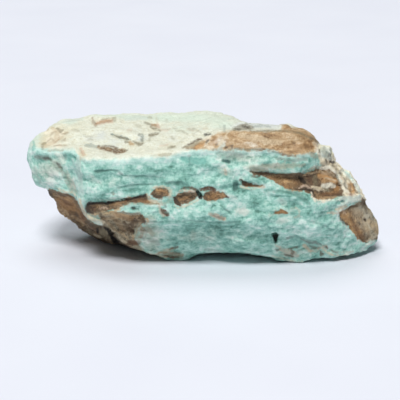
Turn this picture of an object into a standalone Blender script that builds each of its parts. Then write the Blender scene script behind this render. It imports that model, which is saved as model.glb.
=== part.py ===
"""Raw chrysoprase: one hand-sized lump of green chalcedony, still in its brown host rock.

Metres, +Z up, front face towards -Y, origin at the bottom centre of the bounding box.
The form is lofted through ten broken edges that run along the stone, then given its lumps,
ledges and hollows by moving points along their normals. Sizes below are in millimetres.
"""

import math

import bmesh
import bpy
import numpy as np
from mathutils import Matrix, Vector, noise

MM = 0.001
NODE_NAME = "chrysoprase"

# Sampling of the stone's surface, before the flat parts are thinned out to TRIANGLES.
LONG_STEP = 0.5
ROUND_STEP = 0.75
END_SHARE = 0.10
TRIANGLES = 9600
EDGE_ROUNDING_PASSES = 2
CHIP_ROUNDING_PASSES, CHIP_ROUNDING = 2, 0.5  # wears the sharp borders of chips and hollows

# Broken relief all over: broad lumps, and flat chips that lie along the bedding.
LUMP_LENGTH, LUMP_HEIGHT = 13.0, 0.7
CHIP_LENGTH, CHIP_THICKNESS, CHIP_HEIGHT = 8.0, 3.4, 1.5
CHIP_SCATTER = 37.0  # spreads neighbouring chips over different random tilts
BEDDING_LENGTH, BEDDING_THICKNESS, BEDDING_HEIGHT = 20.0, 2.6, 0.6
TOP_SHARE = 0.55  # the weathered top is smoother than the fresh breaks
# The underside is hollowed between the feet that it stands on, (x, y, radius), cut flat at z = 0.
BASE_LUMP_LENGTH, BASE_HOLLOW, BASE_LIFT = 11.0, 2.6, 0.6
FEET = [(-7.5, -6.5, 4.5), (25.5, -7.5, 4.5), (-27.0, 11.0, 4.0), (12.0, 6.0, 5.5)]
FOOT_DEPTH, FOOT_UNEVENNESS, FOOT_LUMP_LENGTH = 0.4, 0.7, 4.0
GROUND_SIZE = (140.0, 80.0, 20.0)

# The ten edges, in order round the stone seen from its right end: (x, y, z) along each one.
FRONT_TOP = [
    (-49.0, -0.5, 27.2), (-47.2, -4.0, 30.0), (-45.0, -6.0, 30.5), (-41.6, -8.0, 30.7),
    (-36.0, -10.5, 31.3), (-33.8, -14.0, 31.1), (-32.8, -17.0, 30.5), (-28.7, -18.5, 31.0),
    (-19.3, -19.5, 31.5), (-6.0, -19.5, 33.0), (-1.0, -20.0, 34.1), (16.3, -20.0, 34.1),
    (21.6, -20.0, 32.9), (25.6, -19.0, 32.4), (29.0, -17.0, 32.5), (31.0, -14.0, 32.7),
    (34.0, -13.0, 29.4), (38.5, -11.0, 21.9), (42.0, -9.0, 18.5), (44.2, -6.0, 14.8),
    (46.6, -3.0, 9.0), (48.9, -0.6, 6.6), (49.6, 0.4, 5.4),
]
FRONT_UPPER = [
    (-49.0, -0.6, 26.9), (-48.0, -3.5, 27.0), (-44.0, -7.5, 27.0), (-39.0, -9.0, 27.5),
    (-35.5, -10.5, 27.5), (-33.4, -15.0, 27.0), (-32.0, -18.0, 26.0), (-26.0, -19.5, 25.5),
    (-14.0, -20.0, 25.5), (0.0, -21.0, 26.0), (12.0, -21.0, 26.0), (22.0, -20.5, 25.0),
    (29.0, -18.5, 24.0), (34.0, -15.5, 21.5), (38.5, -13.0, 18.0), (42.0, -10.5, 14.5),
    (45.0, -6.5, 10.5), (47.5, -3.2, 7.0), (49.0, -1.4, 5.6), (49.6, 0.0, 5.0),
]
FRONT_BROW = [
    (-49.0, -0.5, 26.7), (-47.5, -4.0, 24.0), (-43.5, -7.5, 23.0), (-39.0, -10.0, 24.0),
    (-36.0, -11.0, 23.0), (-34.0, -13.5, 22.0), (-32.7, -16.5, 19.5), (-28.0, -18.0, 17.0),
    (-22.0, -19.5, 16.4), (-14.0, -21.0, 14.5), (0.0, -21.5, 14.6), (20.0, -21.0, 14.4),
    (28.6, -20.0, 14.0), (35.6, -16.0, 12.0), (41.6, -11.0, 9.0), (46.5, -5.0, 5.8),
    (49.0, -1.8, 4.8), (49.6, -0.2, 4.6),
]
FRONT_BOTTOM = [
    (-49.0, -0.2, 26.4), (-47.1, -3.0, 21.7), (-43.4, -4.5, 18.3), (-39.2, -8.0, 19.0),
    (-34.8, -12.0, 19.6), (-32.7, -15.0, 16.9), (-30.9, -15.0, 13.2), (-28.5, -15.0, 12.2),
    (-26.9, -14.5, 11.2), (-23.4, -14.0, 8.2), (-20.0, -13.0, 5.2), (-15.9, -12.0, 2.8),
    (-10.5, -11.0, 0.9), (-6.4, -10.5, -0.2), (-3.6, -11.0, 0.5), (-0.8, -12.0, 2.0),
    (3.0, -13.0, 3.4), (7.4, -14.0, 3.2), (12.8, -14.0, 2.7), (17.7, -14.0, 1.9),
    (22.5, -13.0, 0.8), (27.5, -12.0, -0.2), (29.9, -12.0, 0.4), (32.1, -12.0, 1.1),
    (39.2, -10.0, 1.0), (43.9, -7.0, 0.5), (45.8, -5.0, 0.6), (47.1, -3.0, 2.3),
    (49.0, -1.0, 3.5), (49.6, 0.0, 4.2),
]
KEEL_FRONT = [
    (-49.0, 0.4, 26.2), (-47.0, 0.5, 21.4), (-43.6, 0.0, 17.0), (-40.0, 3.0, 11.3),
    (-37.0, 5.0, 7.9), (-34.0, 7.0, 4.8), (-32.0, 8.0, 2.4), (-29.5, 6.0, 1.6),
    (-26.0, 2.0, 1.4), (-18.0, -3.0, 0.3), (-8.0, -6.0, -0.5), (4.0, -5.0, -0.1),
    (14.0, -6.0, -0.5), (24.0, -8.0, -0.6), (30.0, -8.0, 0.0), (38.0, -6.0, 0.6),
    (44.0, -4.0, 0.6), (47.0, -1.5, 2.2), (49.0, 0.0, 3.2), (49.6, 0.6, 4.1),
]
KEEL_BACK = [
    (-49.0, 1.0, 26.2), (-47.0, 4.0, 21.5), (-43.6, 5.0, 16.0), (-40.0, 7.0, 10.5),
    (-37.0, 8.5, 7.0), (-34.0, 9.5, 3.6), (-32.0, 10.5, 0.9), (-30.0, 11.5, -0.6),
    (-26.0, 12.0, -0.6), (-18.0, 12.0, -0.2), (-5.0, 12.0, -0.5), (8.0, 11.0, -0.7),
    (18.0, 9.0, -0.7), (26.0, 6.0, -0.4), (34.0, 3.0, 0.6), (42.0, 1.0, 1.1),
    (47.0, 1.4, 2.3), (49.0, 1.8, 3.3), (49.6, 1.2, 4.2),
]
BACK_BOTTOM = [
    (-49.0, 1.6, 26.5), (-46.5, 8.0, 21.0), (-43.5, 12.0, 16.0), (-38.0, 15.0, 9.0),
    (-33.0, 17.0, 4.0), (-28.0, 18.0, 2.0), (-20.0, 18.5, 2.6), (-5.0, 19.0, 3.0),
    (8.0, 17.0, 2.5), (18.0, 15.0, 1.6), (28.0, 11.0, 1.6), (38.0, 8.0, 1.8),
    (45.0, 5.0, 2.0), (49.0, 3.0, 3.8), (49.6, 1.8, 4.5),
]
BACK_MIDDLE = [
    (-49.0, 1.8, 26.9), (-46.8, 11.0, 26.0), (-43.0, 17.0, 25.0), (-36.0, 21.0, 22.0),
    (-20.0, 22.5, 20.0), (0.0, 21.5, 20.0), (10.0, 19.0, 20.0), (20.0, 16.0, 19.0),
    (30.0, 12.0, 17.0), (38.0, 9.0, 12.0), (44.0, 6.5, 8.0), (49.0, 3.4, 5.2), (49.6, 1.9, 4.9),
]
BACK_TOP = [
    (-49.0, 1.6, 27.2), (-47.9, 3.5, 29.0), (-46.7, 9.0, 30.5), (-43.8, 15.0, 32.0),
    (-39.0, 18.0, 33.3), (-32.0, 20.0, 34.5), (-21.0, 21.0, 34.6), (-11.0, 21.0, 35.0),
    (-1.0, 20.0, 35.5), (3.5, 18.0, 35.5), (9.0, 16.0, 33.5), (13.2, 14.0, 33.1),
    (18.7, 12.0, 33.0), (22.6, 10.0, 33.2), (27.5, 8.0, 31.8), (30.7, 6.0, 30.2),
    (32.3, 6.0, 27.9), (35.0, 6.0, 26.0), (38.2, 6.0, 22.2), (41.7, 5.0, 19.3),
    (43.6, 5.0, 15.6), (45.1, 4.0, 12.4), (46.9, 3.6, 8.4), (49.0, 2.6, 6.2), (49.6, 1.6, 5.3),
]
CREST = [
    (-49.0, 0.4, 27.4), (-47.7, 0.0, 29.8), (-44.0, 3.0, 31.0), (-33.0, 2.0, 33.0),
    (-20.0, 0.0, 33.5), (-8.0, -4.0, 34.4), (-1.0, -9.0, 35.9), (5.8, -13.0, 37.2),
    (16.5, -14.5, 37.8), (22.0, -13.5, 37.6), (26.0, -13.0, 36.6), (29.4, -10.0, 34.5),
    (32.3, -6.0, 31.0), (35.0, -6.0, 29.4), (38.2, -5.0, 25.3), (41.7, -4.0, 21.5),
    (43.6, -2.0, 17.5), (45.1, -2.0, 14.0), (46.9, -1.0, 9.3), (49.0, 0.8, 6.9), (49.6, 1.0, 5.6),
]
EDGES = [
    FRONT_TOP, FRONT_UPPER, FRONT_BROW, FRONT_BOTTOM, KEEL_FRONT,
    KEEL_BACK, BACK_BOTTOM, BACK_MIDDLE, BACK_TOP, CREST,
]

# Hollows left by brown host rock: a spine of (x, z, radius) seen from the front or back, and a depth.
FRONT_HOLLOWS = {
    "long": (2.0, [(-30.4, 18.2, 1.3), (-28.3, 18.0, 1.5), (-24.8, 18.6, 1.3), (-20.8, 19.6, 0.8),
                   (-17.3, 20.4, 1.0), (-15.7, 20.7, 0.8), (-12.0, 19.7, 0.3)]),
    "bean": (0.9, [(-13.1, 21.6, 1.1), (-10.7, 22.3, 1.3)]),
    "leaf": (1.0, [(-7.5, 20.1, 0.8), (-6.2, 20.5, 1.3), (-4.3, 21.1, 1.5), (-1.4, 21.8, 1.0)]),
    "row_end": (0.8, [(0.5, 21.4, 0.9), (2.4, 20.9, 1.3), (4.7, 21.4, 1.3)]),
    "wedge": (0.8, [(8.9, 24.2, 0.9), (12.2, 24.5, 1.0), (15.0, 24.3, 0.6)]),
    "pod": (2.8, [(13.2, 28.1, 0.4), (15.6, 27.3, 0.8), (18.2, 26.3, 1.3), (21.7, 25.2, 2.1),
                  (25.2, 24.5, 2.4), (28.5, 24.3, 2.5), (31.1, 24.3, 3.2), (34.2, 22.7, 2.8),
                  (36.4, 21.3, 1.5)]),
    "notch": (0.9, [(19.0, 10.8, 0.9), (19.5, 8.3, 0.7)]),
    "groove": (1.0, [(-41.6, 28.7, 0.5), (-39.5, 27.0, 0.6), (-37.6, 23.3, 0.6), (-35.8, 19.7, 0.5)]),
}
BACK_HOLLOWS = {
    "back_pod": (2.2, [(-31.0, 13.0, 1.8), (-21.0, 11.5, 3.4), (-9.0, 12.5, 3.0), (1.0, 15.5, 1.0)]),
    "back_lens": (1.3, [(6.0, 23.5, 0.8), (14.0, 22.0, 2.0), (22.0, 19.5, 0.8)]),
    "back_bean": (1.1, [(-37.0, 25.0, 0.8), (-32.0, 24.0, 1.7), (-26.0, 25.5, 0.7)]),
    "back_low": (1.3, [(12.0, 8.5, 1.0), (21.0, 7.5, 2.0), (30.0, 6.5, 0.9)]),
}
# The host rock that stands proud at the lower left of the front.
FRONT_LUMP = (0.9, [(-26.5, 15.5, 1.4), (-19.5, 14.9, 2.2), (-16.9, 15.3, 1.7)])
FRONT_FOOT = (0.9, [(-22.5, 14.0, 2.2), (-19.0, 10.5, 2.4), (-17.5, 7.4, 1.1)])
# Steps in the front face: its lower side is set back by the depth along a line of (x, z).
FRONT_STEPS = [
    (0.7, [(-15.0, 14.1), (-8.9, 14.0), (-3.5, 14.4), (3.2, 13.9), (9.9, 14.1), (15.7, 12.5)]),
    (0.8, [(15.6, 23.0), (22.0, 22.2), (25.0, 21.1), (27.5, 19.0)]),
    (0.6, [(-28.6, 28.0), (-23.9, 28.4), (-18.1, 26.9), (-10.1, 26.3)]),
    (0.6, [(-22.1, 23.6), (-16.8, 24.5), (-11.5, 24.7), (-5.1, 24.4)]),
    (0.6, [(22.7, 10.2), (25.1, 10.5), (27.4, 8.6), (31.0, 7.2)]),
]
BACK_STEPS = [
    (0.9, [(-40.0, 21.0), (-25.0, 19.0), (-8.0, 20.5), (8.0, 18.5)]),
    (0.8, [(-4.0, 9.0), (10.0, 12.5), (24.0, 13.0), (36.0, 10.0)]),
    (0.7, [(-30.0, 29.5), (-14.0, 28.0), (2.0, 29.5), (14.0, 27.0)]),
]
# Pits in the top, as a spine of (x, y, radius), and the step where the crest rises in front of its line.
TOP_HOLLOWS = {
    "chevron": (0.7, [(-31.1, -9.5, 0.7), (-26.2, -11.0, 1.5), (-22.8, -13.2, 1.8), (-20.9, -13.5, 0.7)]),
    "hook": (0.7, [(-31.5, 15.9, 0.7), (-30.6, 12.0, 1.3), (-28.3, 14.4, 1.2), (-25.8, 15.9, 0.7)]),
    "claw": (0.6, [(-20.5, -4.5, 1.2), (-17.2, -6.8, 1.2), (-16.5, -2.5, 1.0), (-16.9, 0.5, 0.8)]),
    "slit": (0.6, [(-24.6, 0.0, 0.7), (-20.6, -3.6, 1.0)]),
    "dash": (0.6, [(-15.0, -0.5, 0.9), (-12.8, 1.4, 0.9)]),
    "patch": (0.7, [(-15.0, 10.0, 0.8), (-13.5, 9.0, 1.6), (-12.0, 8.0, 1.0)]),
    "rough": (0.9, [(8.2, 5.0, 1.2), (11.0, 6.0, 1.8), (14.0, 6.8, 1.4)]),
    "stain": (0.5, [(-43.2, -9.5, 1.0), (-42.6, -5.0, 1.6), (-40.0, 0.0, 1.6), (-38.5, 4.0, 1.0)]),
}
TOP_STEPS = [
    (0.9, [(-5.5, -11.5), (-3.0, -9.0), (-0.8, -6.0), (1.7, -1.5), (8.7, 2.0), (16.0, 2.5), (23.0, 0.5)]),
    (0.6, [(-44.0, 8.0), (-36.0, 4.0), (-30.0, 6.5), (-21.0, 3.0)]),
]
HOLLOW_EDGE = 1.3
LUMP_EDGE = 1.6
STEP_EDGE, STEP_FADE = 1.2, 6.0


def smooth_step(low, high, value):
    """0 below low and 1 above high, easing between them; high may be the smaller of the two."""
    share = np.clip((value - low) / (high - low), 0.0, 1.0)
    return share * share * (3.0 - 2.0 * share)


def stations():
    """Places along x for the cross-sections, closer together towards the two blunt ends."""
    first, last = FRONT_TOP[0][0], FRONT_TOP[-1][0]
    count = round((last - first) / LONG_STEP)
    even = np.linspace(0.0, 1.0, count)
    eased = (1.0 - np.cos(math.pi * even)) / 2.0
    share = (1.0 - END_SHARE) * even + END_SHARE * eased
    return first + (last - first) * share


def edge_points(edge, xs):
    """The points of one edge at the stations, straight between those that are given."""
    known = np.array(edge)
    y = np.interp(xs, known[:, 0], known[:, 1])
    z = np.interp(xs, known[:, 0], known[:, 2])
    return np.stack([xs, y, z], axis=1)


def loft():
    """Rings of points round the stone, one for each station: an array of station, place and x, y, z."""
    xs = stations()
    lines = [edge_points(edge, xs) for edge in EDGES]
    columns = []
    for line, after in zip(lines, lines[1:] + lines[:1]):
        width = np.linalg.norm(after - line, axis=1).max()
        steps = max(2, round(width / ROUND_STEP))
        for step in range(steps):
            columns.append(line + (after - line) * step / steps)
    rings = np.stack(columns, axis=1)
    for _ in range(EDGE_ROUNDING_PASSES):
        around = (np.roll(rings, 1, axis=1) + np.roll(rings, -1, axis=1)) / 2.0
        rings[1:-1] = (rings[1:-1] + around[1:-1]) / 2.0
        along = (rings[:-2] + rings[2:]) / 2.0
        rings[1:-1] = (rings[1:-1] + along) / 2.0
    return rings


def closed_mesh(rings):
    """A bmesh through the rings, with each end drawn in to a point."""
    bm = bmesh.new()
    rows = [[bm.verts.new(point) for point in ring] for ring in rings]
    for row, after in zip(rows, rows[1:]):
        for i in range(len(row)):
            j = (i + 1) % len(row)
            bm.faces.new((row[i], row[j], after[j], after[i]))
    for row in (rows[0], rows[-1]):
        tip = bm.verts.new(sum((v.co for v in row), Vector()) / len(row))
        for i in range(len(row)):
            bm.faces.new((row[i], row[(i + 1) % len(row)], tip))
    bmesh.ops.recalc_face_normals(bm, faces=bm.faces)
    bm.normal_update()
    return bm


def broken_relief(point, normal):
    """How far one point of the surface stands out of the straight loft: lumps, bedding and flat chips."""
    lumps = LUMP_HEIGHT * noise.noise(point / LUMP_LENGTH)
    layered = Vector((point.x / BEDDING_LENGTH, point.y / BEDDING_LENGTH, point.z / BEDDING_THICKNESS))
    bedding = BEDDING_HEIGHT * noise.noise(layered)
    cell = Vector((point.x / CHIP_LENGTH, point.y / CHIP_LENGTH, point.z / CHIP_THICKNESS))
    centre = noise.voronoi(cell)[1][0]
    tilt = noise.cell_vector(centre * CHIP_SCATTER) - Vector((0.5, 0.5, 0.5))
    chip = CHIP_HEIGHT * (cell - centre).dot(tilt)
    share = TOP_SHARE if normal.z > 0.8 else 1.0
    return lumps + share * (bedding + chip)


def spine_distance(spine, x, z):
    """Distance of each (x, z) outside a chain of tapering capsules, and how high it is on the chain (-1 to 1)."""
    best = np.full(x.shape, np.inf)
    lean = np.zeros(x.shape)
    links = list(zip(spine, spine[1:]))
    for (x0, z0, r0), (x1, z1, r1) in links:
        dx, dz = x1 - x0, z1 - z0
        share = np.clip(((x - x0) * dx + (z - z0) * dz) / (dx * dx + dz * dz), 0.0, 1.0)
        radius = r0 + (r1 - r0) * share
        off_x, off_z = x - (x0 + dx * share), z - (z0 + dz * share)
        distance = np.hypot(off_x, off_z) - radius
        nearer = distance < best
        best[nearer] = distance[nearer]
        lean[nearer] = np.clip(off_z / radius, -1.0, 1.0)[nearer]
    return best, lean


def hollow_depth(hollow, x, z):
    """Deepest under the upper rim, so that the rim hangs over it a little."""
    depth, spine = hollow
    distance, lean = spine_distance(spine, x, z)
    return depth * smooth_step(HOLLOW_EDGE / 2.0, -HOLLOW_EDGE / 2.0, distance) * (0.75 + 0.25 * lean)


def lump_height(lump, x, z):
    height, spine = lump
    distance, _ = spine_distance(spine, x, z)
    return height * smooth_step(LUMP_EDGE, -LUMP_EDGE, distance)


def step_depth(step, x, z):
    """Set back just below the line, easing out again further down and past both ends."""
    depth, line = step
    known = np.array(line)
    below = np.interp(x, known[:, 0], known[:, 1]) - z
    within = smooth_step(known[0, 0] - 2.0, known[0, 0] + 1.0, x)
    within = within * smooth_step(known[-1, 0] + 2.0, known[-1, 0] - 1.0, x)
    return depth * within * smooth_step(0.0, STEP_EDGE, below) * smooth_step(STEP_FADE, STEP_EDGE, below)


def face_depth(x, z, hollows, steps):
    """How far a face is cut back by its hollows and steps, which don't add up where they meet."""
    cut = np.zeros(x.shape)
    for step in steps:
        cut = np.maximum(cut, step_depth(step, x, z))
    for hollow in hollows.values():
        cut = np.maximum(cut, hollow_depth(hollow, x, z))
    return cut


def carve(points, normals):
    """Pushes hollows and steps straight into the front, back and top, and the host rock out of the front."""
    x, y, z = points.T.copy()
    front = smooth_step(-0.15, -0.45, normals[:, 1])
    back = smooth_step(0.15, 0.45, normals[:, 1])
    into_front = face_depth(x, z, FRONT_HOLLOWS, FRONT_STEPS)
    proud = np.maximum(lump_height(FRONT_LUMP, x, z), lump_height(FRONT_FOOT, x, z))
    proud = proud * (into_front < HOLLOW_EDGE)
    into_back = face_depth(x, z, BACK_HOLLOWS, BACK_STEPS)
    points[:, 1] += front * (into_front - proud) - back * into_back
    top = smooth_step(0.6, 0.85, normals[:, 2])
    raised = sum(step_depth(step, x, y) for step in TOP_STEPS)
    points[:, 2] += top * (raised - face_depth(x, y, TOP_HOLLOWS, []))


def stand(points, normals):
    """Hollows the underside between its feet, which reach down past z = 0 by FOOT_DEPTH."""
    x, y, z = points.T.copy()
    lumps = np.array([noise.noise(Vector(point) / BASE_LUMP_LENGTH) for point in points])
    down = smooth_step(-0.5, -0.85, normals[:, 2])
    height = z + np.maximum(BASE_HOLLOW * lumps + BASE_LIFT, 0.0)
    uneven = np.array([noise.noise(Vector(point) / FOOT_LUMP_LENGTH) for point in points])
    for foot_x, foot_y, radius in FEET:
        reach = np.hypot(x - foot_x, y - foot_y) / radius + FOOT_UNEVENNESS * uneven
        height += smooth_step(2.0, 0.4, reach) * (-FOOT_DEPTH - height)
    points[:, 2] += down * (height - z)


def stone_points(bm):
    """The loft's points, in millimetres, with the relief and hollows, centred over the origin."""
    relief = [broken_relief(v.co, v.normal) for v in bm.verts]
    points = np.array([v.co for v in bm.verts])
    normals = np.array([v.normal for v in bm.verts])
    points += normals * np.array(relief)[:, None]
    carve(points, normals)
    stand(points, normals)
    middle = (points.min(axis=0) + points.max(axis=0)) / 2.0
    points[:, :2] -= middle[:2]
    return points


def principled(name, colour, roughness):
    material = bpy.data.materials.new(name)
    material.use_nodes = True
    shader = material.node_tree.nodes["Principled BSDF"]
    shader.inputs["Base Color"].default_value = (*colour, 1.0)
    shader.inputs["Roughness"].default_value = roughness
    shader.inputs["Metallic"].default_value = 0.0
    return material


def make_ground():
    """The block below z = 0 that cuts the flat resting spots."""
    length, width, depth = (size * MM for size in GROUND_SIZE)
    bm = bmesh.new()
    lowered = Matrix.Translation((0.0, 0.0, -depth / 2.0))
    bmesh.ops.create_cube(bm, size=1.0, matrix=lowered @ Matrix.Diagonal((length, width, depth, 1.0)))
    mesh = bpy.data.meshes.new("ground_cutter")
    bm.to_mesh(mesh)
    bm.free()
    ground = bpy.data.objects.new("ground_cutter", mesh)
    bpy.context.scene.collection.objects.link(ground)
    ground.hide_render = True
    ground.display_type = "WIRE"
    return ground


def make_stone():
    bm = closed_mesh(loft())
    for v, point in zip(bm.verts, stone_points(bm)):
        v.co = Vector(point) * MM
    for _ in range(CHIP_ROUNDING_PASSES):
        bmesh.ops.smooth_vert(
            bm, verts=bm.verts, factor=CHIP_ROUNDING, use_axis_x=True, use_axis_y=True, use_axis_z=True
        )
    mesh = bpy.data.meshes.new(NODE_NAME)
    bm.to_mesh(mesh)
    bm.free()
    mesh.shade_smooth()
    mesh.materials.append(principled("chrysoprase_green", (0.30, 0.58, 0.50), 0.5))
    stone = bpy.data.objects.new(NODE_NAME, mesh)
    bpy.context.scene.collection.objects.link(stone)
    thin = stone.modifiers.new("thin_flat_parts", "DECIMATE")
    thin.ratio = TRIANGLES / (2 * len(mesh.polygons))
    thin.use_collapse_triangulate = True
    stand_flat = stone.modifiers.new("stand_flat", "BOOLEAN")
    stand_flat.operation = "DIFFERENCE"
    stand_flat.solver = "EXACT"
    stand_flat.object = make_ground()
    return stone


for old in list(bpy.data.objects):
    bpy.data.objects.remove(old)
make_stone()
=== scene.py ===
"""Looks of the raw chrysoprase: its broken surface, its colours, and a pale studio.

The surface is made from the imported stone's own shape: remeshed finely, then broken up by noise and
carved with the marks listed below. Lengths are in millimetres until the mesh is written in metres.
The front's marks are placed by where they show in the 400 x 400 view from the camera, because the
view fixes them best: the VIEW_... constants say how that view falls on the stone.
"""

import math

import bpy
import numpy as np
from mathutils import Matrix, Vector, noise


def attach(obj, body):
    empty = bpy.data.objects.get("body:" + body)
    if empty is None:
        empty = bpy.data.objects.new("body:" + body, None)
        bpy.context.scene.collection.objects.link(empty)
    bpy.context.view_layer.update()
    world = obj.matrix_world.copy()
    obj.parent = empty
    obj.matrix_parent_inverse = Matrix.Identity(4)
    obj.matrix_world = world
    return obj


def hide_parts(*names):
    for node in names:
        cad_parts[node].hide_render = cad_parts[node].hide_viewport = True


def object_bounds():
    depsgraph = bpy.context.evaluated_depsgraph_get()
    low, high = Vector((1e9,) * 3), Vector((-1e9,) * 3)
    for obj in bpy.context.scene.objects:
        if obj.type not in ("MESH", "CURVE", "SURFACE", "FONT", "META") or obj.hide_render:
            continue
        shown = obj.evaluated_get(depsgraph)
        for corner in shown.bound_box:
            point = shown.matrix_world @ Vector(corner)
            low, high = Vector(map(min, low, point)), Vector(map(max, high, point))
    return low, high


MM = 0.001
NODE = "chrysoprase"

# The camera: a long lens, a little above the stone, square to its front face.
VIEW_PIXELS = 400
VIEW_ELEVATION = math.radians(16.0)
LENS, SENSOR = 135.0, 36.0
VIEW_FOCAL = LENS / SENSOR * VIEW_PIXELS
VIEW_DISTANCE = 420.0
VIEW_TARGET = np.array([-0.90, -0.53, 14.52])
CLIP_START = 0.01
PIXEL_SIZE = 0.27  # one pixel of the view, in millimetres on the front face

# The studio: a pale world, two square lamps as (place, size, power), and a wide sheet below.
WORLD_COLOUR = (0.97, 0.98, 1.0, 1.0)
WORLD_STRENGTH = 0.12
KEY_LIGHT = ((-0.9, -4.2, 6.6), 2.2, 550.0)
OVERHEAD_LIGHT = ((-1.2, 2.0, 6.8), 4.6, 205.0)
LIGHT_AIM = (0.0, 0.0, 0.02)
FLOOR_SIZE = 6.0

# The surface: grid size of the remesh, how often its shape and normals are smoothed, how it is thinned.
VOXEL = 0.3
SHAPE_PASSES = 12
RELIEF_NORMAL_PASSES = 4
PAINT_NORMAL_PASSES = 3
BROAD_PASSES = 10
BUMP_PASSES = 6
MOST_TRIANGLES = 190000
THINNING = (0.2, 0.5)  # how readily the seen and the hidden side give up triangles

# How squarely the surface has to face the camera to count as seen, by what is done there.
SPARED_FROM = -0.05
CARVED_FROM = 0.05
PAINTED_FROM = -0.025
CALMED = (-0.05, 0.15)  # the smoother places fade in over this range

# Relief, as (size of its lumps along x, y, z), octaves, height, and a shift that makes each noise its own.
OCTAVE_FALL, OCTAVE_STEP = 1.0, 2.0  # how each octave weakens, and how much finer it is
WARP = ((11.0, 11.0, 6.0), 2, 1.4, 5.0)
LAYERS = ((8.0, 8.0, 1.8), 3, 0.22, 0.0)
BREAKS = ((3.0, 3.0, 2.2), 4, 0.36, 11.0)
GRAIN = ((0.9, 0.9, 0.8), 2, 0.15, 23.0)
RIM_LUMPS = ((2.0, 2.0, 1.7), 2, 0.45, 17.0)  # more relief on the speckled rim at the right
PLATE_SIZE, PLATE_HEIGHT = (4.6, 4.6, 2.6), 0.42
PLATE_APART = 37.0  # sets the plates' middles far apart in the noise that tilts them
PLATE_LEAN = 0.5  # how much every plate leans the same way
TOP = (0.55, 0.85)  # how far up the surface faces where the top begins, and where it is all top
TOP_CALM, TOP_BREAKS_CALM = 0.55, 0.35  # the shares of the layers and of the breaks that the top loses

# How far areas stray in the view: pairs of such noises, for px across and px down.
RAGGED = (
    (((1.1, 1.1, 1.0), 2, 1.1, 31.0), ((1.1, 1.1, 1.0), 2, 1.1, 47.0)),
    (((4.5, 4.5, 3.0), 2, 1.2, 31.0), ((4.5, 4.5, 3.0), 2, 1.2, 47.0)),
)
CREST_STRAY = (((7.0, 5.0, 7.0), 3, 16.0, 61.0), ((5.0, 5.0, 5.0), 2, 3.0, 67.0))  # more, behind the crest
BEHIND_CREST = ((8.0, 14.0), (0.0, 6.0), (29.0, 32.0))  # where that begins and is full, along x, y and z
MARK_STRAY = 0.4  # how much of all this the finer marks take on

# How edges fade, from outside to inside, in px, and the host rock's in mm.
RIM_EDGE = (-3.0, 1.0)
CARVED_EDGE = (-1.1, 1.0)
HOST_EDGE = (-0.3, 0.35)
PAINT_EDGE = (-0.9, 0.5)
OVERLAP_EDGE = (-0.4, 0.4)  # of a mark over those below it
UNDER_EDGE = (-0.7, 0.5)  # of what lies below a mark
OUTSIDE = -9.0  # stands for "far outside" in distances, which are positive inside a mark

# The sides that the view doesn't show.
CRUST_UP = 0.55  # crust lies where the surface faces up more than this
CRUST_FADE = 5.0  # turns facing up into mm inside the crust
BACK_FROM = 0.35  # how squarely the far side faces away from the front
LENSES = ((13.0, 13.0, 3.2), 2, 3.0, 41.0)  # lenses of host rock, in mm inside them
LENS_GAP = 1.3  # mm taken off, so that green lies between them
BELOW = (-0.2, -0.6)  # facing up: where the underside begins, and where it is all underside
# The underside's host rock is also a painted shade that darkens the gap beneath the stone.
BELOW_HOST_AND_SHADE = 0.9  # mm of host rock added there
BELOW_LEFT_HOST, LEFTWARDS = 1.2, (20.0, -30.0)  # and mm added towards the left, over this range of x
PATCHES = ((12.0, 12.0, 6.0), 2, 1.3, 53.0)  # rustier and paler patches

# Soft pushes outwards, as (px, py, reach across, reach down, mm).
SWELLS = [
    (34, 138, 10, 14, 1.2), (54, 124, 12, 6, 0.8), (36, 180, 10, 12, 1), (382, 230, 12, 14, 1.5),
    (370, 212, 8, 8, 1), (310, 136, 20, 10, 0.9), (327, 150, 6, 7, 1.5), (244, 120, 24, 6, 0.9),
    (215, 112, 60, 4, 0.4), (228, 257, 34, 4, -0.9), (285, 166, 24, 4, -0.4), (285, 175, 20, 2, 0.2),
    (67, 215, 9, 9, 1.7), (80, 227, 8, 6, 1), (365, 197, 6, 7, 0.8), (377, 226, 6, 9, 0.4),
    (374, 249, 8, 4, -1.2), (371, 217, 5, 5, 0.9), (369, 228, 3, 8, 0.9), (234, 119, 8, 5, 0.9),
    (288, 125, 6, 4, 0.6), (102, 115, 30, 4, 0.4),
]
# Smoother places, as the share of the relief that they lose.
CALMS = [
    (115, 172, 34, 12, 0.4), (165, 172, 30, 12, 0.3), (72, 208, 16, 10, 0.5), (338, 175, 16, 14, 0.4),
    (300, 180, 26, 9, 0.3), (50, 172, 16, 12, 0.3), (250, 203, 36, 10, 0.15),
]
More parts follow.
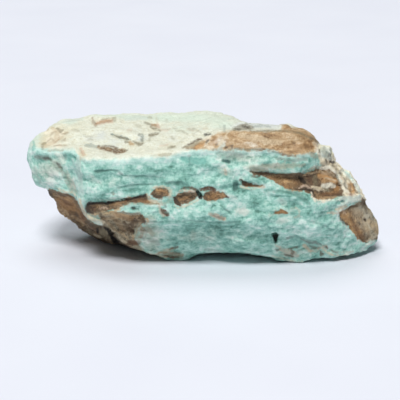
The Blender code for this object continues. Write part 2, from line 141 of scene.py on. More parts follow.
# Areas of host rock, as outlines in px: (depth in mm, outline).
HOST_AREAS = {
    "long": (0, [(85, 207), (86.5, 203.5), (92, 201.5), (100, 202), (110, 201.5), (118, 200.5),
        (126, 198.5), (134, 197), (140, 195), (145.5, 193.5), (147.5, 196), (147.5, 199.5), (153, 202.5),
        (160, 204), (150, 204.3), (140, 204), (130, 203.3), (124, 205.5), (119, 208), (112, 210),
        (104, 212), (98, 214), (92, 214), (87.5, 211.5)]),
    "bean": (0, [(150, 194), (152.5, 190), (158, 188), (165, 187.5), (169.8, 190), (170, 194), (166, 197.5),
        (159, 199), (153, 197.8)]),
    "leaf": (0, [(173, 199), (175.5, 195.5), (181, 192.8), (190, 190.8), (196, 191), (198, 195.5),
        (193.5, 200.3), (186, 203.8), (179, 206.3), (174, 204)]),
    "row_end": (0, [(202, 196.5), (205, 193), (213, 192), (217, 191.3), (224, 192), (226.5, 196.3),
        (220, 200), (212, 201.5), (205, 200.5)]),
    "wedge": (0.3, [(240.5, 180.5), (246, 181.5), (252, 182.8), (258, 184), (264, 185.5), (258, 187),
        (250, 187.3), (243, 186)]),
    "half_moon": (0.2, [(271.5, 213.8), (277, 210.2), (281, 209), (286.5, 211), (288.5, 214),
        (280, 213.6)]),
    "pod": (0, [(250, 172), (256, 170.5), (262, 172), (275, 173), (290, 174), (300, 173.5), (305, 173),
        (310, 171.5), (316, 168.5), (323, 166.5), (329, 169), (335, 174), (340, 180), (343.5, 187),
        (344.5, 192), (342, 196.5), (330, 199.3), (318, 201), (312, 198), (308.5, 193.5), (303, 191.5),
        (293, 190.5), (286, 188), (279, 184.5), (272, 181), (266, 177.5), (260, 175.5), (254, 174.5)]),
    "under_left": (0, [(44, 190), (49, 189.5), (53, 188.5), (58, 190.5), (62, 192.5), (68, 193.5),
        (73, 196.5), (78, 202.5), (81, 210), (85.5, 217), (91.5, 221.5), (98, 224.3), (105, 226),
        (112, 231), (122, 246), (100, 248), (80, 238), (52, 214)]),
    "lump": (0, [(98, 213), (104, 211.5), (112, 210.5), (120, 211), (128, 212), (137, 212.5), (143, 215),
        (147, 219), (143, 223), (137, 228), (134, 236), (136, 243), (143, 250), (150, 255), (150, 262),
        (118, 248), (110, 242), (106, 231), (104, 226), (99, 219)]),
    "end_face": (0.3, [(338.5, 213), (342, 210.5), (350, 206), (357, 203), (361, 200.5), (362.5, 197.5),
        (370, 201), (376, 210), (382, 217), (388, 224), (392, 231), (388, 236), (380, 239.5), (374, 241),
        (369, 240), (366, 243), (362, 242), (356, 237), (351, 231), (345, 224), (341, 219)]),
}
# Host rock on the far side, as spines of (x, z, radius) in mm on the stone.
BACK_HOST = {
    "pod": [(-31, 13, 1.8), (-21, 11.5, 3.4), (-9, 12.5, 3), (1, 15.5, 1)],
    "lens": [(6, 23.5, 0.8), (14, 22, 2), (22, 19.5, 0.8)],
    "bean": [(-37, 25, 0.8), (-32, 24, 1.7), (-26, 25.5, 0.7)],
    "low": [(12, 8.5, 1), (21, 7.5, 2), (30, 6.5, 0.9)],
    "chain_one": [(-18, 24, 0.5), (-14, 24.6, 1.2), (-10.5, 24.2, 0.5)],
    "chain_two": [(-8, 25.2, 0.4), (-4.5, 25, 1), (-1.5, 24.2, 0.4)],
}
# Tan rock and the speckled rim, as outlines in px.
TAN_AREAS = {
    "crest": [(184, 148.3), (191, 145.2), (198, 142), (206, 138.5), (212, 135.5), (219, 133.5),
        (226, 131.5), (234, 130.8), (246, 131), (262, 131.3), (278, 130), (290, 127), (303, 128),
        (312, 133), (318.5, 140), (320, 147), (316, 153), (306, 154), (297, 155.5), (287, 155.5),
        (277, 152.5), (268, 149.8), (256, 149.3), (242, 149.5), (230, 149), (218, 148.3), (206, 149.3),
        (195, 149.6)],
    "crest_tip": [(281, 130.5), (283, 126), (286, 121), (289, 123), (293, 129.5), (298, 132), (286, 132)],
}
RIM_AREA = [
    (317, 146), (330, 144), (345, 158), (362, 178), (372, 198), (364, 201), (355, 200), (344, 199),
    (338, 192), (336, 182), (328, 174), (322, 167), (319, 160),
]
# The edge between the crust on top and the green front, along the view.
CRUST_EDGE = [
    (20, 150), (34, 147), (45, 149), (60, 150), (75, 149), (80, 159.5), (95, 159), (110, 160), (130, 158.5),
    (150, 156.5), (166, 157), (180, 153), (190, 151), (200, 149.5), (265, 149.5), (285, 154), (300, 155),
    (312, 152.5), (322, 146), (345, 144),
]
# Soft spots in the view, as (px, py, reach across, reach down, strength): rusty, green and grey crust.
CRUST_TINTS = [
    (56, 134, 14, 9, 1.1), (46, 144, 8, 6, 0.9), (75, 128, 12, 5, 0.4), (112, 150, 18, 4, 0.4),
    (155, 128, 9, 4, 0.7), (185, 143, 12, 4, 0.5), (82, 154, 5, 6, 0.9), (104, 121, 13, 3.5, 0.8),
    (158, 149, 22, 4, 0.35), (132, 144, 6, 3, 0.7), (212, 133, 8, 4, 0.4), (162, 155, 12, 2, 0.4),
    (350, 186, 8, 8, 0.4), (168, 146, 6, 2, 0.4),
]
CRUST_GREENS = [
    (70, 122, 9, 3, 0.8), (135, 117, 18, 3, 0.8), (200, 118, 36, 8, 0.9), (226, 125, 14, 5, 0.7),
    (270, 125, 20, 4, 0.3), (36, 137, 7, 12, 1.1), (165, 118, 18, 4, 0.7), (105, 114, 18, 4, 0.7),
    (180, 130, 14, 4, 0.5), (52, 124, 8, 5, 0.5), (326, 152, 8, 8, 0.9),
]
CRUST_GREYS = [
    (100, 135, 11, 6, 0.7), (116, 143, 8, 5, 0.5), (89, 140, 6, 4, 0.4), (141, 138, 6, 5, 0.6),
    (172, 138, 7, 5, 0.5), (240, 126, 12, 4, 0.9), (268, 125, 20, 4, 1), (148, 151, 8, 2.5, 0.4),
    (94, 119, 5, 4, 0.4), (222, 142, 5, 4, 0.4), (327, 155, 8, 8, 0.5),
]
# Lighter and darker places in the green and in the host rock, and greyer green.
# Many are painted light and shade: shade in recesses and hollows, highlight along the top edge, light on
# dim faces.
PAINTED_SHADE_AND_TONE = [
    (100, 163, 18, 4, 0.5), (200, 158, 22, 4, 0.5), (255, 208, 34, 8, -0.8), (197, 182, 24, 4, -0.5),
    (150, 174, 20, 5, -0.25), (235, 186, 4.5, 6, -1.6), (227, 161, 5, 2.5, -0.8), (123, 179, 10, 7, -0.3),
    (105, 171, 10, 2.5, -0.4), (216, 229, 20, 7, -0.6), (300, 240, 14, 3.5, -0.3), (266, 230, 6, 12, -0.3),
    (304, 198, 6, 4, -0.8), (92, 181, 5, 9, -0.2), (185, 158, 8, 5, -0.35), (195, 161, 9, 3.5, -1),
    (345, 214, 6, 6, 0.9), (358, 210, 6, 4, 1), (285, 192, 18, 2, -0.7), (172, 240, 22, 5, -0.25),
    (333, 232, 10, 5, -0.25), (43, 158, 7, 2.5, -1.2), (58, 165, 6, 3.5, -0.9), (85, 164, 4, 5, -0.35),
    (176, 183, 9, 3, -0.7), (58, 152.5, 9, 2.5, 0.7), (32, 148, 5, 8, 0.6), (36, 170, 6, 8, 0.3),
    (140, 161, 26, 3.5, 0.6), (110, 195, 22, 3, 0.4), (241, 211, 9, 5, 1), (168, 229, 13, 4, 0.5),
    (283, 223, 8, 4.5, 0.7), (304, 229, 14, 4, 0.45), (335, 218, 8, 5, 0.3), (283, 199, 4, 4, 0.5),
    (160, 206, 14, 4, 0.4), (243, 167, 16, 5, 0.2), (229, 154, 12, 4, -0.4), (288, 159, 26, 5, -0.5),
    (216, 160, 18, 5, -0.4), (362, 222, 14, 14, 1.4), (52, 170, 16, 14, 0.5), (310, 230, 22, 8, 0.3),
    (282, 208, 18, 6, 0.25), (88, 172, 4, 14, 0.5), (110, 215, 14, 3, 0.3), (205, 247, 22, 3, 0.35),
    (225, 206, 14, 4, 0.2), (56, 181, 9, 7, 0.5), (77, 178, 4, 14, 0.7), (312, 225, 9, 4, 0.3),
    (345, 245, 10, 4, 0.1), (205, 165, 14, 5, 0.3), (268, 187, 14, 3, 0.7), (240, 204, 20, 6, 0.3),
    (205, 208, 14, 5, 0.15), (89, 208, 3.5, 4.5, -0.9), (110, 203, 2, 2, -0.8), (302, 180, 5, 4, -0.9),
    (318, 181, 4, 3, -0.3), (204, 197, 4, 3, -0.6), (175, 200, 2.5, 4, -0.8), (312, 192, 4, 2, -0.6),
    (262, 173, 6, 1.5, -0.9), (98, 229, 6, 4, -0.4), (66, 204, 14, 10, 0.5), (328, 176, 8, 7, 1.8),
    (320, 199, 7, 2, 0.7), (118, 240, 6, 5, -0.6), (352, 224, 5, 7, 0.2), (372, 226, 8, 8, -0.1),
    (284, 181, 15, 5, 0.8), (104, 233, 3, 4, 0.3), (132, 225, 6, 7, -0.3),
]
GREYS = [
    (48, 172, 14, 12, 0.9), (56, 164, 6, 6, 0.6), (225, 172, 7, 6, 0.7), (216, 229, 16, 6, 0.3),
    (150, 233, 9, 10, 1), (284, 167, 26, 3.5, 0.35), (292, 159, 24, 4, 0.35), (283, 221, 8, 6, 0.5),
    (295, 210, 8, 6, 0.4), (240, 156, 20, 7, 0.9), (152, 247, 8, 6, 0.7), (272, 168, 18, 3, 0.7),
    (193, 234, 4, 5, 0.5), (170, 254, 18, 4, 0.7), (110, 182, 12, 6, 0.35), (92, 176, 6, 6, 0.4),
    (241, 212, 8, 5, 0.5), (190, 238, 60, 6, 0.35), (72, 184, 5, 10, 0.4), (145, 164, 8, 4, 0.2),
    (330, 214, 6, 4, 0.4), (256, 168, 9, 3.5, 1.2), (300, 255, 16, 5, 0.3), (185, 168, 6, 5, 0.2),
    (150, 218, 6, 6, 0.8), (285, 254, 10, 5, 0.6),
]
# Rustier and paler places in the host rock and the crest.
RUSTS = [
    (326, 176, 9, 7, 1.1), (336, 189, 4, 4, 1.3), (330, 194.5, 11, 2.5, 1), (318, 199, 8, 2.5, 0.8),
    (352, 188, 3.5, 7, 1.4), (275, 178, 9, 4, 0.8), (290, 183, 12, 5, 0.9), (346, 217, 6, 7, 1.2),
    (352, 227, 5, 8, 0.9), (359, 235, 5, 6, 1), (250, 185, 10, 4, 0.6), (180, 199, 9, 5, 0.5),
    (161, 192, 8, 5, 0.5), (213, 197, 11, 5, 0.6), (66, 206, 10, 11, 1.4), (82, 217, 5, 8, 0.9),
    (97, 232, 6, 5, 0.7), (97, 207, 7, 4, 0.5), (140, 201, 9, 3, 0.5), (279, 212, 8, 3, 0.7),
    (285, 147, 24, 5, 0.8), (309, 144, 7, 8, 0.8), (197, 147, 5, 3, 0.8), (213, 138, 6, 4, 0.5),
    (245, 138, 16, 6, 0.3), (286, 127, 5, 4, 0.9), (103, 121, 11, 3, 1.2), (153, 126, 4, 2.5, 0.8),
    (130, 143.5, 4, 2, 0.7), (361, 254, 8, 2, 1), (316, 248, 8, 3, 0.5), (113, 193, 4, 3, 0.8),
    (161, 210, 3, 3, 0.8), (117, 152, 9, 3, 0.3), (136, 243, 8, 5, 0.4),
]
BUFFS = [
    (60, 214, 8, 6, 0.4), (92, 230, 10, 6, 0.4), (120, 224, 16, 12, 0.4), (362, 214, 8, 8, 0.3),
    (370, 222, 9, 12, 1.1), (358, 208, 8, 4, 0.6), (378, 232, 8, 8, 1), (106, 214, 12, 3, 0.8),
    (256, 172, 6, 4, 0.7), (112, 228, 8, 10, 0.8), (126, 238, 10, 5, 0.9), (255, 168, 6, 3, 1),
    (124, 216, 8, 3, 0.5), (103, 234, 5, 5, 0.5), (142, 234, 6, 8, 0.9), (142, 249, 8, 5, 0.7),
    (88, 234, 8, 4, 0.4), (217, 217, 8, 3, 0.5), (250, 145, 12, 4, 0.5), (318, 149, 4, 8, 0.8),
    (222, 141, 6, 5, 0.8), (170, 250, 10, 4, 0.5), (96, 214, 5, 3, 0.4),
]

# Paints for the marks, as sRGB 0 to 255.
# The black, darkest brown and dark teal paints are also painted shade in pits, gaps, creases and under
# lips.
PAINTS = {
    "black_and_shadow": (32, 27, 23), "dusk": (66, 56, 45), "umber": (94, 75, 53), "maroon": (100, 68, 46),
    "brown": (142, 114, 80), "rust": (152, 114, 72), "orange": (192, 148, 98), "tan": (178, 153, 117),
    "sand": (208, 193, 163), "rose": (196, 172, 150), "olive": (120, 110, 84), "drab": (160, 156, 132),
    "stone": (130, 141, 132), "mist": (198, 209, 197), "cream": (232, 226, 204), "pale": (222, 230, 216),
    "aqua": (178, 211, 201), "jade": (108, 176, 162), "deep": (64, 102, 95),
}
# Marks in the view, as (paint, how strongly it covers, rise in mm, spine of (px, py, radius)).
# Each list is one place on the stone; MARKS is the order they are laid on in.
RUSTY_CORNER = [
    ("cream", 0.6, 0, [(48, 132, 3), (60, 133, 4), (50, 141, 4), (60, 145, 2.5)]),
    ("tan", 0.35, 0, [(52, 128, 1.4), (58, 132, 2.2), (55, 138, 1.4)]),
    ("tan", 0.35, 0, [(62, 137, 1), (53, 142, 2), (46, 146, 1.4)]),
    ("brown", 0.4, 0, [(50, 136, 0.5), (52.5, 133, 0.8), (56, 131.5, 0.5)]),
    ("brown", 0.4, 0, [(47.5, 141, 0.5), (51, 138.5, 0.8), (54, 141, 0.6)]),
    ("rust", 0.35, 0, [(55, 142.5, 0.5), (58.5, 139.5, 0.9), (59, 136, 0.5)]),
    ("olive", 0.6, 0, [(57, 128.5, 0.8), (60.5, 131, 1.6), (62.5, 130, 0.7)]),
    ("brown", 0.45, 0, [(62, 134, 0.6), (65, 133.5, 1), (68, 133, 0.5)]),
    ("brown", 0.4, 0, [(62, 140.5, 0.7), (64.5, 139.5, 0.9)]),
    ("olive", 0.5, -0.2, [(42.3, 149, 0.8), (43, 145, 1.3), (46, 142.5, 0.7)]),
    ("brown", 0.5, 0, [(54, 145.8, 0.5), (60, 145, 0.8), (66, 145.5, 0.5)]),
    ("brown", 0.3, 0, [(47, 131, 0.7), (48.5, 129, 0.7)]),
    ("drab", 0.4, 0, [(72, 129, 0.5), (75, 129.6, 0.9), (79, 131, 0.4)]),
    ("drab", 0.5, 0, [(88, 139.5, 0.5), (90.5, 139, 0.9), (93, 140, 0.4)]),
    ("drab", 0.4, 0, [(88, 136.3, 0.3), (92, 136.5, 0.4)]),
    ("olive", 0.4, -0.2, [(48, 151.3, 0.5), (55, 149.8, 0.9), (63, 150.3, 0.6)]),
    ("mist", 0.6, 0, [(64, 122.5, 1), (72, 120.5, 1.6), (82, 118.5, 1.2)]),
]
RED_STREAK = [
    ("rose", 0.75, -0.2, [(96, 124, 1.3), (100, 122.6, 1.6), (105, 121.4, 1.7), (112, 121, 1.4)]),
    ("rust", 0.55, 0, [(96.5, 123.8, 0.6), (101, 122.2, 1), (107, 121, 0.9), (111, 120.8, 0.5)]),
    ("brown", 0.5, 0.2, [(92, 118, 0.6), (93, 122, 1.1), (95.5, 125.3, 1.3)]),
    ("drab", 0.6, 0.2, [(101, 119.6, 0.4), (108, 118.8, 0.6), (115, 118.2, 0.9), (114, 121, 0.9)]),
    ("mist", 0.6, 0, [(126, 119, 1.5), (137, 118, 2.2), (147, 118.5, 1.5)]),
    ("drab", 0.5, 0, [(148.5, 117.5, 0.8), (151.5, 117.6, 0.9)]),
    ("olive", 0.6, 0, [(145.3, 122.4, 0.7), (148.5, 123.8, 0.9), (151.5, 125.3, 0.6)]),
    ("rust", 0.65, 0, [(152, 125.4, 1.1), (156, 125.6, 1.4)]),
    ("rose", 0.7, 0, [(157.5, 125, 1.2), (159, 128, 0.8)]),
    ("olive", 0.75, -0.2, [(151, 127, 0.7), (155, 128.9, 0.9), (159.5, 130, 0.9)]),
    ("rose", 0.4, 0, [(161, 129.5, 0.9), (166, 130, 0.9), (169.5, 129.3, 0.6)]),
    ("drab", 0.35, 0, [(136, 125, 0.7), (140, 126.3, 1.1)]),
    ("rose", 0.45, 0, [(128, 130.2, 0.7), (131.5, 129.7, 0.9)]),
    ("drab", 0.3, 0, [(166.5, 119.8, 0.9), (167, 121, 0.6)]),
    ("tan", 0.35, 0, [(156.5, 118, 0.6), (157, 121.5, 0.7)]),
]
CRUST_CRACKS = [
    ("stone", 0.55, -0.2, [(86, 145.5, 1.2), (91, 146, 2), (97, 147.3, 1.2)]),
    ("brown", 0.8, -0.2, [(98, 147.3, 0.9), (104, 148.3, 1.7), (111, 149.8, 2), (117, 151, 2.7),
        (124, 150.4, 1.9)]),
    ("umber", 0.6, 0, [(104, 149.3, 0.5), (110, 151, 0.9), (114, 150, 0.7), (117, 148.3, 0.6)]),
    ("dusk", 0.5, 0, [(110, 147.6, 0.5), (115, 150.6, 0.8), (121, 152.3, 0.7)]),
    ("umber", 0.7, 0, [(99, 146.2, 0.4), (107, 145.8, 0.7), (113, 146.4, 0.8), (118, 148.6, 0.9)]),
    ("umber", 0.7, -0.2, [(101.5, 148, 1.1), (104.5, 148.6, 0.9)]),
    ("umber", 0.7, -0.2, [(113, 151.5, 0.9), (116, 152.6, 1.3), (118, 150, 0.9)]),
    ("umber", 0.7, -0.2, [(120.5, 150, 0.8), (124, 151, 1.3), (127.5, 149.7, 0.6)]),
    ("stone", 0.8, -0.3, [(112.5, 134.5, 0.8), (117, 136.2, 1.2), (122, 137.5, 1.4), (127, 139, 1.3),
        (130, 139.8, 0.7)]),
    ("olive", 0.7, 0, [(115, 135.6, 0.6), (122, 137.5, 0.9), (128, 139.4, 1)]),
    ("olive", 0.7, -0.3, [(125.8, 141.8, 0.7), (128.5, 142.4, 1)]),
    ("tan", 0.8, 0, [(129.5, 142, 1.1), (132.5, 143.8, 1), (130, 144.6, 0.7)]),
    ("olive", 0.7, 0, [(133.7, 141.6, 0.5), (136.5, 143.2, 1), (139.5, 144.3, 1.1), (142.8, 143, 0.8)]),
    ("stone", 0.6, -0.3, [(138.8, 135, 0.8), (142, 134.3, 1), (143, 137, 1.1), (142.3, 140.8, 1.2)]),
    ("olive", 0.4, 0, [(142.8, 138.5, 0.5), (142.3, 141, 0.8)]),
    ("olive", 0.7, -0.3, [(149.3, 135.6, 0.9), (152, 135.3, 1.2), (156, 134, 1.1), (158.3, 133.5, 0.6)]),
    ("drab", 0.5, 0, [(150, 137, 0.8), (149.3, 140.5, 0.8)]),
]
CRUST_WISPS = [
    ("drab", 0.5, 0, [(171.5, 136.8, 0.8), (173.5, 139.3, 1)]),
    ("olive", 0.6, 0, [(168.3, 148.2, 0.7), (171.5, 147.3, 1.1), (174.7, 146.8, 0.7)]),
    ("rose", 0.4, 0, [(160.5, 145.6, 0.7), (164.5, 145.6, 0.8), (168, 144.6, 0.5)]),
    ("drab", 0.6, 0, [(160, 155.2, 0.8), (164, 155.1, 1.1), (170.5, 153.7, 0.9)]),
    ("drab", 0.4, 0, [(151.5, 155.4, 0.5), (157, 155, 0.8)]),
    ("drab", 0.5, 0, [(176, 130.5, 0.5), (182, 131, 0.6), (188, 134.3, 0.6)]),
    ("brown", 0.35, 0, [(187, 129, 0.5), (191, 129.6, 0.9), (194, 130.4, 0.5)]),
    ("drab", 0.5, 0, [(193.5, 128.5, 0.6), (198.5, 130.8, 0.9), (201, 132.3, 0.6)]),
    ("drab", 0.4, 0, [(172, 127, 0.3), (176, 129.3, 0.5)]),
    ("tan", 0.3, 0, [(203.5, 128.7, 0.5), (207, 128.4, 0.6)]),
    ("stone", 0.4, 0, [(224.3, 126, 0.9), (224.6, 131, 0.9)]),
    ("olive", 0.65, 0.3, [(234, 129.5, 1.4), (240, 127.8, 2.3), (246, 127, 2.8), (251, 127.5, 2.3)]),
    ("dusk", 0.6, -0.3, [(235, 129.5, 0.7), (240, 129.3, 1)]),
    ("dusk", 0.6, -0.3, [(243, 126.5, 0.9), (248, 127.5, 1.3), (250.5, 129.5, 0.8)]),
    ("stone", 0.4, 0, [(254, 126.5, 0.8), (260, 125.8, 1.2), (270, 126.5, 0.8)]),
    ("olive", 0.6, -0.2, [(251, 131.5, 0.5), (262, 131, 0.7), (275, 130.6, 0.6), (288, 131.6, 0.5)]),
]
CORNER_SCAR = [
    ("rose", 0.7, -0.2, [(80.8, 149, 0.9), (82.5, 152.3, 1.3), (83.2, 154.5, 0.9)]),
    ("rust", 0.5, 0, [(80.3, 157.5, 0.7), (80.5, 160.3, 0.8)]),
    ("pale", 0.6, 0, [(56, 153.5, 1.8), (61, 157, 2.8), (64, 162, 1.8)]),
    ("jade", 0.4, 0, [(65, 153, 0.8), (70, 155, 1.8), (75, 158, 1)]),
    ("jade", 0.3, 0, [(68, 158, 1.2), (72, 164, 2.4), (73, 170, 1.4)]),
    ("jade", 0.6, 0, [(33.5, 142, 0.8), (34, 146, 1.6), (33.5, 150, 1.2)]),
    ("aqua", 0.5, 0, [(32, 136, 1.5), (30.5, 143, 2), (28.5, 150, 2)]),
    ("stone", 0.35, 0, [(65.5, 153.5, 0.8), (66, 160, 0.8)]),
]
LEFT_FACE = [
    # Painted shade in the recess at the top left and in the groove below it.
    ("stone", 0.6, -0.1, [(35.5, 157, 1), (41, 157.5, 2), (47, 158.3, 2.6)]),
    ("dusk", 0.6, -0.3, [(43.5, 158.3, 0.8), (48, 158.8, 1.6), (51, 160, 1.1)]),
    ("stone", 0.55, 0, [(53, 162.5, 1.2), (57, 165, 2.8), (60, 169.5, 2.2)]),
    ("dusk", 0.5, -0.3, [(56.8, 163, 0.5), (59, 167, 1), (61.5, 168.3, 0.8)]),
    ("olive", 0.35, -0.1, [(61, 168, 1.4), (64.5, 175, 2), (67, 181, 2.2), (69.5, 187, 2), (72, 191, 1.2)]),
    ("drab", 0.4, 0, [(66, 171, 1.4), (69.5, 179, 2.2), (73, 186, 2.2), (75.5, 192, 1.8)]),
    ("mist", 0.4, 0, [(40, 166, 2), (44, 170, 2.5), (52, 172, 1.5)]),
    ("stone", 0.3, 0, [(34, 168, 1.5), (37, 174, 1.5), (40, 182, 1)]),
    ("mist", 0.45, 0, [(78, 158, 1.6), (79.5, 172, 2.6), (81, 188, 2.8), (82, 200, 1.8)]),
    ("aqua", 0.5, 0.2, [(77.5, 160, 2), (79, 174, 3.2), (81, 188, 3.4), (82, 201, 2.3), (84.5, 212, 1.2),
        (91, 218.5, 1.3), (99, 221.3, 1.2)]),
    ("sand", 0.75, 0.1, [(79.3, 199, 0.7), (81.5, 207, 1.4), (85, 213.5, 1.9), (90.5, 218, 2.2),
        (97, 221, 2), (103, 222.5, 1.2)]),
    ("drab", 0.5, -0.1, [(87.5, 213.5, 0.6), (93, 216, 0.9), (100, 217.5, 0.8)]),
    ("pale", 0.8, 0.2, [(95, 221.8, 0.8), (99, 222.6, 1.1), (102, 224, 0.9)]),
    ("sand", 0.5, 0.1, [(55.5, 187, 0.5), (61, 190.6, 0.9), (66, 192, 0.8), (72, 192.3, 1),
        (76.3, 196, 0.7)]),
]
UNDER_LEFT = [
    # Painted shadow under the lip.
    ("dusk", 0.7, -0.2, [(48.3, 191, 0.9), (51, 193.7, 1.2), (53, 197.5, 0.9)]),
    ("dusk", 0.45, -0.1, [(59, 193, 0.8), (64, 195, 1.7), (68.5, 194.6, 1.3), (73, 198, 1.6),
        (76.5, 203, 1.2)]),
    ("brown", 0.6, 0.2, [(53.5, 194, 1.2), (56, 200, 1.9), (60, 207, 1.8)]),
    ("rust", 0.6, 0, [(58, 199, 1.2), (62, 202, 2), (66, 206, 3), (72, 209, 3), (78, 212, 2.4)]),
    ("maroon", 0.6, 0, [(63, 200, 1), (67, 203.5, 1.8), (72, 205, 1.2)]),
    ("umber", 0.5, 0, [(70, 211, 1), (76, 214, 1.4), (80, 219, 1)]),
    ("tan", 0.6, 0.5, [(62.5, 213.5, 1), (66, 212, 1.5), (67.5, 215, 1)]),
    ("tan", 0.6, 0.5, [(71.5, 216, 1.1), (74, 216.6, 0.9)]),
    ("tan", 0.5, 0.4, [(77, 218.5, 1.1), (80, 221, 1.2), (83, 224.6, 1.1)]),
    ("dusk", 0.5, -0.2, [(69, 212.5, 0.6), (70.5, 215, 0.7)]),
    ("dusk", 0.5, -0.2, [(75.5, 212, 0.5), (77.5, 215.5, 0.8)]),
    ("maroon", 0.6, 0, [(81.5, 213, 1.2), (83.5, 218, 1.4)]),
    ("dusk", 0.5, -0.2, [(86, 221, 0.7), (91, 224.5, 1.2), (98, 226.3, 1), (104, 228, 0.8)]),
    ("maroon", 0.5, 0, [(90, 227, 1.2), (94, 229, 1.4)]),
    # Painted shadow in the nub's pit.
    ("black_and_shadow", 0.85, -0.6, [(97, 229, 1.2), (97.8, 231.7, 1.3)]),
    ("olive", 0.7, 0.3, [(102.5, 229.5, 1.6), (104, 233.5, 2.2), (107.5, 236, 1.2)]),
    ("sand", 0.7, 0.3, [(94, 234.5, 0.6), (97, 236, 0.8), (100.5, 237, 0.9)]),
    # Painted shadow in the gap between the nub and the lump, carved in as well.
    ("black_and_shadow", 0.95, -1.2, [(104.5, 227.3, 0.7), (108.5, 230.5, 1.2), (112, 235, 2), (115, 240, 2.5),
        (121, 245, 2), (129, 248.5, 1)]),
]
LONG_HOLLOW = [
    # Painted shadow under the hollow's upper edge.
    ("black_and_shadow", 0.8, -0.2, [(86, 206, 1.1), (89.5, 203, 1.5), (97, 202.8, 0.9), (107, 203.3, 1.3),
        (115, 201.8, 0.8), (123, 200, 0.8), (131, 199.3, 0.5)]),
    ("black_and_shadow", 0.85, -0.2, [(132, 199, 0.7), (138, 197, 1.2), (145.3, 195.3, 1.7)]),
    # Painted shade at the hollow's deep left end.
    ("dusk", 0.7, 0, [(86.5, 208, 1.6), (88.5, 211.7, 1.7), (92.5, 213.3, 1)]),
    ("maroon", 0.6, 0, [(93, 208.3, 1.2), (95, 210.5, 1)]),
    ("rose", 0.4, 0.2, [(99, 209, 0.7), (104, 207, 0.9), (107, 208.5, 1)]),
    ("tan", 0.5, 0.2, [(91, 214.8, 0.5), (97, 213.8, 0.8), (103, 212, 0.8)]),
    ("rust", 0.4, 0.2, [(111, 205, 1.4), (119, 203.4, 1.3), (126, 201.3, 0.9)]),
    ("maroon", 0.5, 0, [(125, 200.6, 0.7), (129, 200.5, 0.8)]),
    ("maroon", 0.5, 0, [(134, 200.3, 0.8), (140, 199.6, 1.2), (145.5, 200.5, 0.9)]),
    ("rust", 0.5, 0.1, [(138, 201.5, 0.7), (146, 201.8, 0.9), (150, 203, 0.6)]),
    ("tan", 0.7, 0.2, [(104, 215, 0.7), (110, 212.8, 1.1), (118, 210, 1.2), (124, 207, 0.7)]),
    ("drab", 0.7, 0.1, [(128, 203.3, 0.4), (136, 203.8, 0.7), (150, 203.9, 0.7), (158.5, 203.6, 0.5)]),
    ("aqua", 0.5, 0.2, [(122, 208.5, 0.9), (129, 206.3, 1.6), (142, 205.8, 1.3), (156, 206.6, 1)]),
    ("aqua", 0.4, 0.1, [(130, 210.8, 0.9), (146, 210.3, 1.2), (158, 212.5, 1)]),
    ("stone", 0.5, 0, [(127.5, 206, 0.4), (130, 204.6, 0.5)]),
    ("black_and_shadow", 0.85, -0.4, [(132, 208.2, 1.2), (134, 208.4, 1)]),
    ("deep", 0.6, 0, [(135, 209, 0.4), (138.5, 209.6, 0.3)]),
    ("stone", 0.6, -0.2, [(119, 212.6, 0.4), (128, 213.4, 0.8), (141, 213.8, 0.7)]),
]
LUMP = [
    ("tan", 0.5, 0.4, [(103, 218.8, 0.7), (111, 218.8, 0.9), (121, 216.8, 0.8), (122.7, 220, 0.6)]),
    ("rust", 0.5, 0, [(116, 214.5, 1.5), (124, 216.5, 2.6), (132, 219, 2.2)]),
    ("brown", 0.5, 0, [(112, 216, 1.4), (118, 222, 2.6), (124, 230, 2.2)]),
    ("umber", 0.4, -0.3, [(124, 222, 1), (128, 228, 1.6), (133, 231, 1)]),
    ("tan", 0.5, 0.4, [(107, 221.5, 0.8), (111.5, 226, 1.3), (114.5, 230, 1.1)]),
    ("tan", 0.6, 0.4, [(117.5, 231, 0.9), (121, 233, 1.3), (125, 236, 1.2), (128, 238.6, 1)]),
    ("sand", 0.5, 0.3, [(118.5, 236.5, 0.8), (122, 240, 1.1), (126, 242, 0.9)]),
    ("tan", 0.7, 0.3, [(137, 228.5, 0.9), (135.3, 234, 1.1), (132.5, 240, 0.8)]),
    ("maroon", 0.75, -0.2, [(128.5, 241.3, 1.2), (134, 243, 2), (139, 242.8, 1.3)]),
    ("drab", 0.6, 0, [(134, 247, 1.4), (140, 249, 2.2), (144, 251, 1.4)]),
    ("stone", 0.6, 0, [(139, 236.5, 1.2), (143.5, 238.5, 1.2)]),
    ("drab", 0.55, 0, [(142, 229, 1.8), (148, 228.5, 2.2), (152, 234, 2.2)]),
    ("stone", 0.4, 0, [(150, 240, 2.2), (158, 243, 2)]),
    ("tan", 0.6, 0.2, [(139.5, 222.5, 0.9), (141.5, 226.5, 1)]),
    ("drab", 0.6, 0, [(139, 224.5, 1.2), (136.5, 230, 2.2), (137, 236, 2.2), (140, 242, 1.4)]),
    ("brown", 0.5, 0, [(139.5, 226, 1.4), (143, 231, 1.9), (141, 237, 1.6)]),
    ("umber", 0.4, 0, [(143, 227, 0.6), (146.5, 232, 0.8), (145, 237, 0.5)]),
    ("tan", 0.7, 0, [(146.5, 218.6, 0.7), (148, 221, 1.1), (147, 223.5, 0.7)]),
    ("umber", 0.85, -0.4, [(142.7, 219.3, 1), (144.3, 222, 1.3)]),
]
